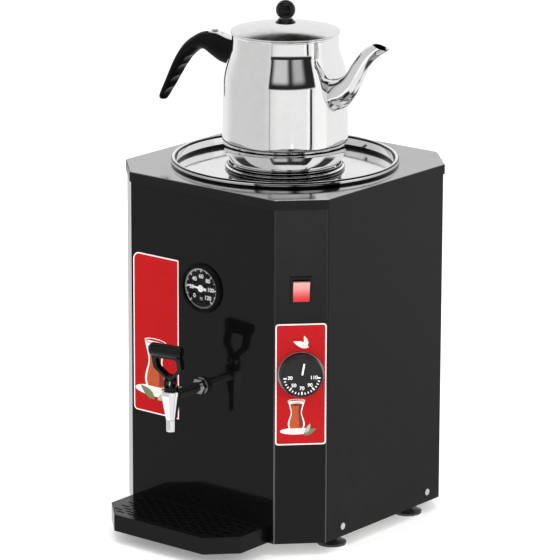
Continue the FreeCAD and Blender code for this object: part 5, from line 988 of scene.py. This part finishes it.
loop_edge = rounded([
    (-5.6, 2, 1), (5.6, 2, 1), (6.2, 7, 4), (19, 18, 8), (19, 41, 1), (-19, 41, 1), (-19, 18, 8), (-6.2, 7, 4),
], 6)
loop_hole = rounded([
    (-3, 8.8, 2), (3, 8.8, 2), (13.5, 19, 6), (13.5, 32.2, 3), (-13.5, 32.2, 3), (-13.5, 19, 6),
], 6)
loop = soften(ring_plate("lever_loop", loop_edge, loop_hole, -4, 4, bakelite), 1.6, 4)
settle(loop, LEVER_SEAT, "lever", "tap_lever")

bar_line = rounded([(0, -21, 0), (7.8, -21, 3.8), (7.8, 21, 3.8), (0, 21, 0)], 8)
across_top = Matrix.Translation(Vector((0, 0, 41)) * MM) @ Matrix.Rotation(math.radians(90), 4, "Y")
make("lever_bar", spin(bar_line, 64), bakelite, LEVER_SEAT @ across_top, "lever", sharp=50)

cheek_side = [(4.0, 7.5), (4.0, -1.5), (2.0, -3.6), (-1.2, -4.3), (-8.15, -2.6), (-7.55, 0.0), (-4.0, 7.5)]
cheek_line = rounded([(y, z, 0.8) for y, z in cheek_side], 3)
sideways = Matrix(((0, 0, 1), (1, 0, 0), (0, 1, 0))).to_4x4()
for name, low, high in (("lever_cheek_left", -5.6, -2.75), ("lever_cheek_right", 2.75, 5.6)):
    prism(name, cheek_line, low, high, bakelite, LEVER_SEAT @ sideways, "lever", edge=0.4)
print("lever made")

# %% [markdown]
# ## The thermometer
# A black bezel holds a clear glass over a dark dial with a pale edge. Plain numbers
# from 0 to 120 run round it. The numbers are text turned into thin raised shapes, so
# they stay crisp from every side.

# %% Thermometer bezel and dial
GAUGE_Z = 302.5
turned_piece("gauge_rim", [
    (26.3, 0, 0.1), (29.5, 0, 0.3), (29.5, 2.6, 0.8), (28.0, 5.0, 1.2), (25.6, 5.0, 0.6), (24.4, 4.5, 0.3),
    (24.4, 4.4, 0.05), (25.4, 4.4, 0.05), (25.4, 1.0, 0.05), (26.3, 1.0, 0.05),
], grip_black, on_front(0, GAUGE_Z), "casing", "gauge_bezel", 128)

turned_piece("dial_edge", [
    (21.9, 1.4, 0), (24.2, 1.4, 0), (24.2, 1.55, 0.05), (21.9, 1.55, 0.05),
], dial_grey, on_front(0, GAUGE_Z), "casing", sides=128)


# %% Numbers and ticks
def tick_marks(name, spots, seat, body):
    """Raised bars: each is (clockwise angle, inner radius, outer radius, width, low, high)."""
    points, faces = [], []
    for angle, inside, outside, wide, low, high in spots:
        a = math.radians(angle)
        out = Vector((math.sin(a), math.cos(a)))
        side = Vector((out.y, -out.x)) * wide / 2
        base = len(points)
        corners = (out * inside - side, out * inside + side, out * outside + side, out * outside - side)
        points += [(c.x, c.y, height) for height in (low, high) for c in corners]
        faces += [(base + 3, base + 2, base + 1, base), (base + 4, base + 5, base + 6, base + 7)]
        faces += [(base + k, base + (k + 1) % 4, base + 4 + (k + 1) % 4, base + 4 + k) for k in range(4)]
    make(name, (points, faces), mark_white, seat, body)


def number(name, words, tall, x, y, out, seat, body):
    """Plain digits as a thin raised mesh."""
    letters = bpy.data.curves.new(name, "FONT")
    letters.body = words
    letters.size = tall * 1.35 * MM
    letters.extrude = 0.05 * MM
    letters.offset = 0.03 * tall * MM
    letters.align_x = letters.align_y = "CENTER"
    holder = bpy.data.objects.new(name + "_text", letters)
    data = bpy.data.meshes.new_from_object(holder)
    bpy.data.objects.remove(holder)
    data.name = name
    data.materials.clear()
    data.materials.append(mark_white)
    settle(add_object(name, data), seat @ Matrix.Translation(Vector((x, y, out)) * MM), body)


def scale_angle(value):
    """Degrees from upright, clockwise, for a reading from 0 to 120."""
    return -135 + 270 * value / 120


ON_DIAL = on_front(0, GAUGE_Z)
TICK_END = 23.6
ticks = []
for reading in range(0, 121, 2):
    long, wide = (4.2, 1.1) if reading % 20 == 0 else (3.2, 0.8) if reading % 10 == 0 else (1.9, 0.45)
    ticks.append((scale_angle(reading), TICK_END - long, TICK_END, wide, 1.6, 1.7))
tick_marks("gauge_ticks", ticks, ON_DIAL, "casing")
for reading in range(0, 121, 20):
    a = math.radians(scale_angle(reading))
    x, y = 14.2 * math.sin(a), 14.2 * math.cos(a)
    number("gauge_number_%d" % reading, str(reading), 5.0, x, y, 1.45, ON_DIAL, "casing")
number("gauge_unit", "°C", 3.0, 0, -12.5, 1.45, ON_DIAL, "casing")
print("gauge ticks:", len(ticks))

# %% Pointer
OVER_DIAL = on_front(0, GAUGE_Z, 1.9)
prism("gauge_needle", [(-1.7, -8), (1.7, -8), (1.5, 0), (0.55, 20), (-0.55, 20), (-1.5, 0)], 0, 0.6, mark_white,
      OVER_DIAL @ Matrix.Rotation(math.radians(86), 4, "Z"), "pointer", "gauge_pointer", 0.1)
turned_piece("needle_hub", [
    (0, -7.9, 0), (1, -7.9, 0.1), (1, 0.1, 0), (4.2, 0.1, 0.2), (4.2, 1.1, 0.4), (0, 1.1, 0),
], mark_white, OVER_DIAL, "pointer", sides=64)
print("thermometer made")

# %% [markdown]
# ## The controls on the cut corner
# The control plate is printed red with a white border. The knob is a black disc with
# numbers round its lower half and a white pointer line, in front of a chrome ring.

# %% Knob and ring
KNOB_Z, KNOB_BACK, KNOB_TALL = 219.0, 2.8, 9.2
turned_piece("knob_chrome_ring", [
    (22, 0, 0.1), (26.8, 0, 0.2), (26.8, 0.8, 0.5), (26.2, 1.6, 0.4), (22, 1.6, 0.3),
], ring_steel, on_corner(0, KNOB_Z, 0.8), "casing", "knob_ring", 128)

turned_piece("heat_knob", [
    (0, 0, 0), (24.8, 0, 0.6), (24.8, 7.2, 1.2), (23.6, 10.0, 1.0), (22.6, 10.0, 0.4), (22.2, KNOB_TALL, 0.3),
    (0, KNOB_TALL, 0),
], knob_black, on_corner(0, KNOB_Z, KNOB_BACK), "knob", "thermostat_knob", 128)


def knob_angle(part):
    """Degrees from upright, clockwise, for a part of the knob's scale."""
    return 95 + 170 * part


KNOB_FACE = on_corner(0, KNOB_Z, KNOB_BACK + KNOB_TALL)
marks = [(10, 2.0, 15.5, 2.1, 0.0, 0.12)]
for step in range(17):
    inside, wide = (17.6, 1.7) if step % 4 == 0 else (18.9, 1.2)
    marks.append((knob_angle(step / 16), inside, 21.4, wide, 0.0, 0.12))
tick_marks("knob_marks", marks, KNOB_FACE, "knob")
for step, words in enumerate(("110", "90", "70", "50", "30")):
    a = math.radians(knob_angle(step / 4))
    number("knob_number_" + words, words, 4.3, 13.7 * math.sin(a), 13.7 * math.cos(a), 0.07, KNOB_FACE, "knob")
print("knob made")


# %% Panel and borders
def border(name, outer_edge, inner_edge, seat):
    """A flat printed band between two outlines with the same number of points."""
    count = len(outer_edge)
    points = [(x, y, height) for height in (-0.05, 0.06) for edge in (outer_edge, inner_edge) for x, y in edge]
    faces = []
    for k in range(count):
        n = (k + 1) % count
        faces += [(2 * count + k, 2 * count + n, 3 * count + n, 3 * count + k), (k, count + k, count + n, n),
                  (k, n, 2 * count + n, 2 * count + k), (count + n, count + k, 3 * count + k, 3 * count + n)]
    make(name, (points, faces), border_white, seat, "casing")


PLATE_SEAT = on_corner(0, 206.6, 0.8)
border("plate_border", rounded_box(29.3, 72.0, 3.6), rounded_box(27.8, 70.5, 2.4), PLATE_SEAT)

LABEL_X, LABEL_Z, LABEL_THICK = -69.5, 233.5, 0.4
LABEL_CORNERS = [5, 1.5, 1.5, 9]
LABEL_SEAT = on_front(LABEL_X, LABEL_Z, LABEL_THICK)
prism("printed_panel", rounded_box(34.5, 96.0, LABEL_CORNERS), 0, LABEL_THICK, print_red,
      on_front(LABEL_X, LABEL_Z), "casing", "front_label")
border("label_border", rounded_box(34.4, 95.9, LABEL_CORNERS), rounded_box(32.9, 94.4, [3.6, 0.6, 0.6, 7.5]),
       LABEL_SEAT)
print("panel and borders printed")

# %% [markdown]
# ## The printed pictures
# The panel and the plate each carry a plain picture of tea being served: a waisted tea
# glass on a saucer with two leaves. Each shape is a thin printed layer a few hundredths
# of a millimetre above the one below, like screen printing.

# %% Outlines for the pictures
def curve_points(*stops, steps=10):
    """Smooth line through (x, y) stops."""
    return [tuple(r) for r in smooth_rows([list(s) for s in stops], steps * (len(stops) - 1) + 1)]


def oval_points(x, y, wide, tall, count=40):
    return [(x + wide * math.cos(2 * math.pi * k / count), y + tall * math.sin(2 * math.pi * k / count))
            for k in range(count)]


def oval_band(x, y, wide, tall, inner_wide, inner_tall):
    """An oval band with a hairline slit, so that one outline draws it."""
    outer_part, inner_part = oval_points(x, y, wide, tall), oval_points(x, y, inner_wide, inner_tall)
    return outer_part + outer_part[:1] + inner_part[:1] + list(reversed(inner_part[1:])) + [inner_part[0]]


def glass_side(top, bottom, spread):
    """Right side of a waisted tea glass between two heights, drawn for a glass 100 tall."""
    stops = [(15, 0), (21, 6), (24, 18), (22, 32), (16.5, 50), (16, 62), (20, 80), (25, 97)]
    return [(x * spread, y) for x, y in curve_points(*stops) if bottom <= y <= top]


def both_sides(line):
    return line + [(-x, y) for x, y in reversed(line)]


# %% Tea glass and leaves
def layer(name, outline, height, finish, seat, scale, shift):
    """One printed layer 0.05 mm thick."""
    points = [(x * scale + shift[0], y * scale + shift[1]) for x, y in outline]
    prism(name, points, height, height + 0.05, finish, seat, "casing")


def tea_glass(prefix, *spot):
    """Saucer, glass, tea and its surface, from the lowest layer up."""
    shade = glass_side(84, 8, 0.92)
    for name, outline, height, finish in (
        ("_saucer", oval_points(0, -4, 52, 11), 0.02, print_white),
        ("_saucer_well", oval_points(0, -3, 34, 6), 0.08, print_cream),
        ("_glass", both_sides(glass_side(100, 0, 1.12)), 0.14, print_white),
        ("_tea", both_sides(glass_side(84, 5, 0.92)), 0.20, print_amber),
        ("_tea_shade", shade + [(x * 0.45, y) for x, y in reversed(shade)], 0.26, print_tea),
        ("_surface", oval_points(0, 84, 19.5, 4.2), 0.32, print_tea),
        ("_mouth_front", oval_band(0, 97, 28, 6.0, 24.5, 4.2), 0.14, print_cream),
    ):
        layer(prefix + name, outline, height, finish, *spot)


def leaf(name, seat, scale, shift, height, turned, finish):
    """A pointed leaf that grows from its shift, turned anticlockwise from upright."""
    a = math.radians(turned)
    half = curve_points((0, 0), (6, 9), (7.5, 20), (4.5, 32), (0, 42))
    outline = half + [(-x, y) for x, y in reversed(half[1:-1])]
    outline = [(x * math.cos(a) - y * math.sin(a), x * math.sin(a) + y * math.cos(a)) for x, y in outline]
    layer(name, outline, height, finish, seat, scale, shift)


tea_glass("label", LABEL_SEAT, 0.60, (-1.0, -66.0))
leaf("label_leaf_long", LABEL_SEAT, 0.62, (-2.0, -78.0), 0.40, 58, print_green)
leaf("label_leaf_short", LABEL_SEAT, 0.46, (2.0, -78.0), 0.46, -58, print_grey)
tea_glass("plate", PLATE_SEAT, 0.36, (-5.0, -54.0))
leaf("plate_leaf_long", PLATE_SEAT, 0.40, (3.0, -60.0), 0.40, -64, print_green)
leaf("plate_leaf_short", PLATE_SEAT, 0.30, (6.0, -58.0), 0.46, -24, print_grey)
leaf("plate_sprig_long", PLATE_SEAT, 0.46, (9.0, 44.0), 0.02, 68, print_white)
leaf("plate_sprig_short", PLATE_SEAT, 0.30, (7.5, 46.0), 0.08, 18, print_cream)
print("pictures printed")

# %% [markdown]
# ## The feet
# Each foot is a moulded pad on a threaded stud, with a hexagon above it for a spanner.

# %% Feet
FEET = {"foot_1": (130, -73, "front_right_foot"), "foot_2": (-130, -73, "front_left_foot"),
        "foot_3": (130, 73, "rear_right_foot"), "foot_4": (-130, 73, "rear_left_foot")}


def thread_line(radius, low, high, pitch=1.25):
    """A stud's side with shallow grooves."""
    line = []
    z = low
    while z + pitch <= high:
        line += [(radius, z + pitch * 0.15), (radius, z + pitch * 0.4), (radius - 0.5, z + pitch * 0.7)]
        z += pitch
    return line + [(radius - 0.4, high)]


HEX_RADIUS = 14 / math.sqrt(3)
hexagon = [(HEX_RADIUS * math.cos(math.radians(60 * k)), HEX_RADIUS * math.sin(math.radians(60 * k)))
           for k in range(6)]
for node, (x, y, body) in FEET.items():
    seat = upright(x, y, 0)
    pad = turned_piece(node + "_pad", [
        (0, 0, 0), (16.8, 0, 0.8), (17.5, 1.4, 0.8), (17.5, 4.0, 1.2), (11, 6.8, 1.0), (5, 7, 0.5), (0, 7, 0),
    ], (foot_black, foot_glide), seat, body, node, 72)
    for face in pad.data.polygons:
        if face.center.z < 1.3 * MM:
            face.material_index = 1
    make(node + "_stud", spin([(0, 6.5), (4, 6.5)] + thread_line(4, 6.8, 39) + [(0, 39)], 32), zinc_steel, seat,
         body, sharp=60)
    prism(node + "_hexagon", hexagon, 9, 14.9, zinc_steel, seat, body, edge=0.4)
print("feet made")

# %% [markdown]
# ## Floor and light
# The urn stands on a plain pale floor in a bright, soft studio. Polished steel and gloss
# paint have little look of their own: they show what stands round them. A photographer
# sets white screens and dark boards round such a piece. Here the sky of the scene plays
# that part. It is painted with soft-edged patches, each a range of headings and heights,
# and only mirror-like surfaces see them. Heading 0 points out from the cut corner that
# carries the knob, and rises to the right-hand side.

# %% Floor
def floor_finish():
    """Pale floor that glows a little, so that its far parts stay as light as the sky."""
    finish, tree, surface = new_finish("studio_floor", (0.90, 0.90, 0.90), 0.8, Specular_IOR_Level=0.1,
                                       Emission_Strength=0.24)
    patches = place_group(tree, SMUDGES, Scale=0.8, Amount=1.0)
    mix = tint(tree, patches, surface, (0.90, 0.90, 0.90), (0.92, 0.92, 0.92))
    tree.links.new(mix.outputs["Result"], surface.inputs["Emission Color"])
    return finish


FAR = 30000
points = [(-FAR, -FAR, 0), (FAR, -FAR, 0), (FAR, FAR, 0), (-FAR, FAR, 0)]
floor = mesh_object("studio_floor", points, [(0, 1, 2, 3)], floor_finish())
floor.visible_glossy = False
print("floor laid")

# %% Sky directions
world = bpy.data.worlds.new("studio")
bpy.context.scene.world = world
world.use_nodes = True
sky = world.node_tree
background = sky.nodes["Background"]
SKY_TURN = math.radians(51.23)

turned = add_node(sky, "VectorRotate", Vector=add_node(sky, "TexCoord").outputs["Generated"], Angle=SKY_TURN,
                  rotation_type="Z_AXIS")
split = add_node(sky, "SeparateXYZ", turned.outputs["Vector"])
heading = calc(sky, "DEGREES", calc(sky, "ARCTAN2", split.outputs["Y"], split.outputs["X"]))
height = calc(sky, "DEGREES", calc(sky, "ARCSINE", split.outputs["Z"]))
behind = calc(sky, "ABSOLUTE", heading)
print("sky turned by", round(math.degrees(SKY_TURN), 2), "degrees")


# %% Screens in the sky
def between(angle, low, high, soft):
    """1 where an angle lies between two others, with soft ends."""
    starts = remap(sky, angle, low - soft, low + soft, kind="SMOOTHSTEP")
    return calc(sky, "MULTIPLY", starts, remap(sky, angle, high + soft, high - soft, kind="SMOOTHSTEP"))


def hang_screen(below, headings, heights, level, soft, angle=heading):
    """Lay a patch of one brightness over what is painted so far."""
    mask = calc(sky, "MULTIPLY", between(angle, *headings, soft[0]), between(height, *heights, soft[1]))
    return add_node(sky, "Mix", Factor=mask, A=below, B=level).outputs["Result"]


# Each screen is its headings, its heights, its brightness and how soft its two pairs of edges are.
SCREENS = [
    ((-125, -26), (-95, 95), 0.68, (16, 5)),
    ((-29.5, -28), (-70, 1), 0.30, (0.8, 2)),
    ((40, 45), (-70, 1), 1.05, (1.5, 2)),
    ((46, 50.5), (-70, 1), 0.02, (0.8, 2)),
    ((56, 82), (-70, 60), 1.05, (3, 5)),
    ((88, 124), (30, 75), 0.04, (3, 5)),
    ((-130, -92), (30, 75), 0.04, (3, 5)),
    ((-300, 300), (-95, -56), 0.06, (1, 4)),
    ((-150, -26), (-70, -24), 1.15, (10, 3)),
    ((5, 22), (-25, -16), 0.95, (2, 1.0)),
    ((10.9, 14.1), (-15.6, -12.6), 1.95, (0.9, 0.5)),
    ((86, 126), (-25, -16.4), 0.55, (3, 1.2)),
    ((-31, 57), (2, 56), 0.02, (1.5, 1.5)),
    ((-24, 5), (12, 42), 0.62, (5, 4)),
    ((15, 36), (12, 40), 0.45, (6, 5)),
    ((154, 200), (31, 56), 0.01, (8, 0.8), behind),
]
painted_sky = 0.92
for screen in SCREENS:
    painted_sky = hang_screen(painted_sky, *screen)

seen = add_node(sky, "LightPath").outputs["Is Glossy Ray"]
grey = add_node(sky, "Mix", Factor=seen, A=1.0, B=painted_sky).outputs["Result"]
sky.links.new(grey, background.inputs["Color"])
background.inputs["Strength"].default_value = 1.0
print("sky screens hung:", len(SCREENS))


# %% Light panels
def light_panel(name, place, aim, wide, tall, power):
    """A soft lamp that lights the paint but doesn't show in the steel."""
    data = bpy.data.lights.new(name, "AREA")
    data.shape = "RECTANGLE"
    data.size, data.size_y = wide, tall
    data.energy = power
    lamp = bpy.data.objects.new(name, data)
    lamp.location = place
    lamp.rotation_euler = (Vector(aim) - Vector(place)).to_track_quat("-Z", "Y").to_euler()
    lamp.visible_glossy = False
    bpy.context.scene.collection.objects.link(lamp)


light_panel("panel_left", (-2.2, -2.6, 1.9), (0, 0, 0.35), 1.6, 2.2, 20)
light_panel("panel_right", (3.0, -0.6, 1.6), (0, 0, 0.35), 1.4, 2.0, 26)
light_panel("panel_above", (0.2, -0.2, 3.0), (0, 0, 0.3), 2.4, 2.4, 30)
print("light panels placed")
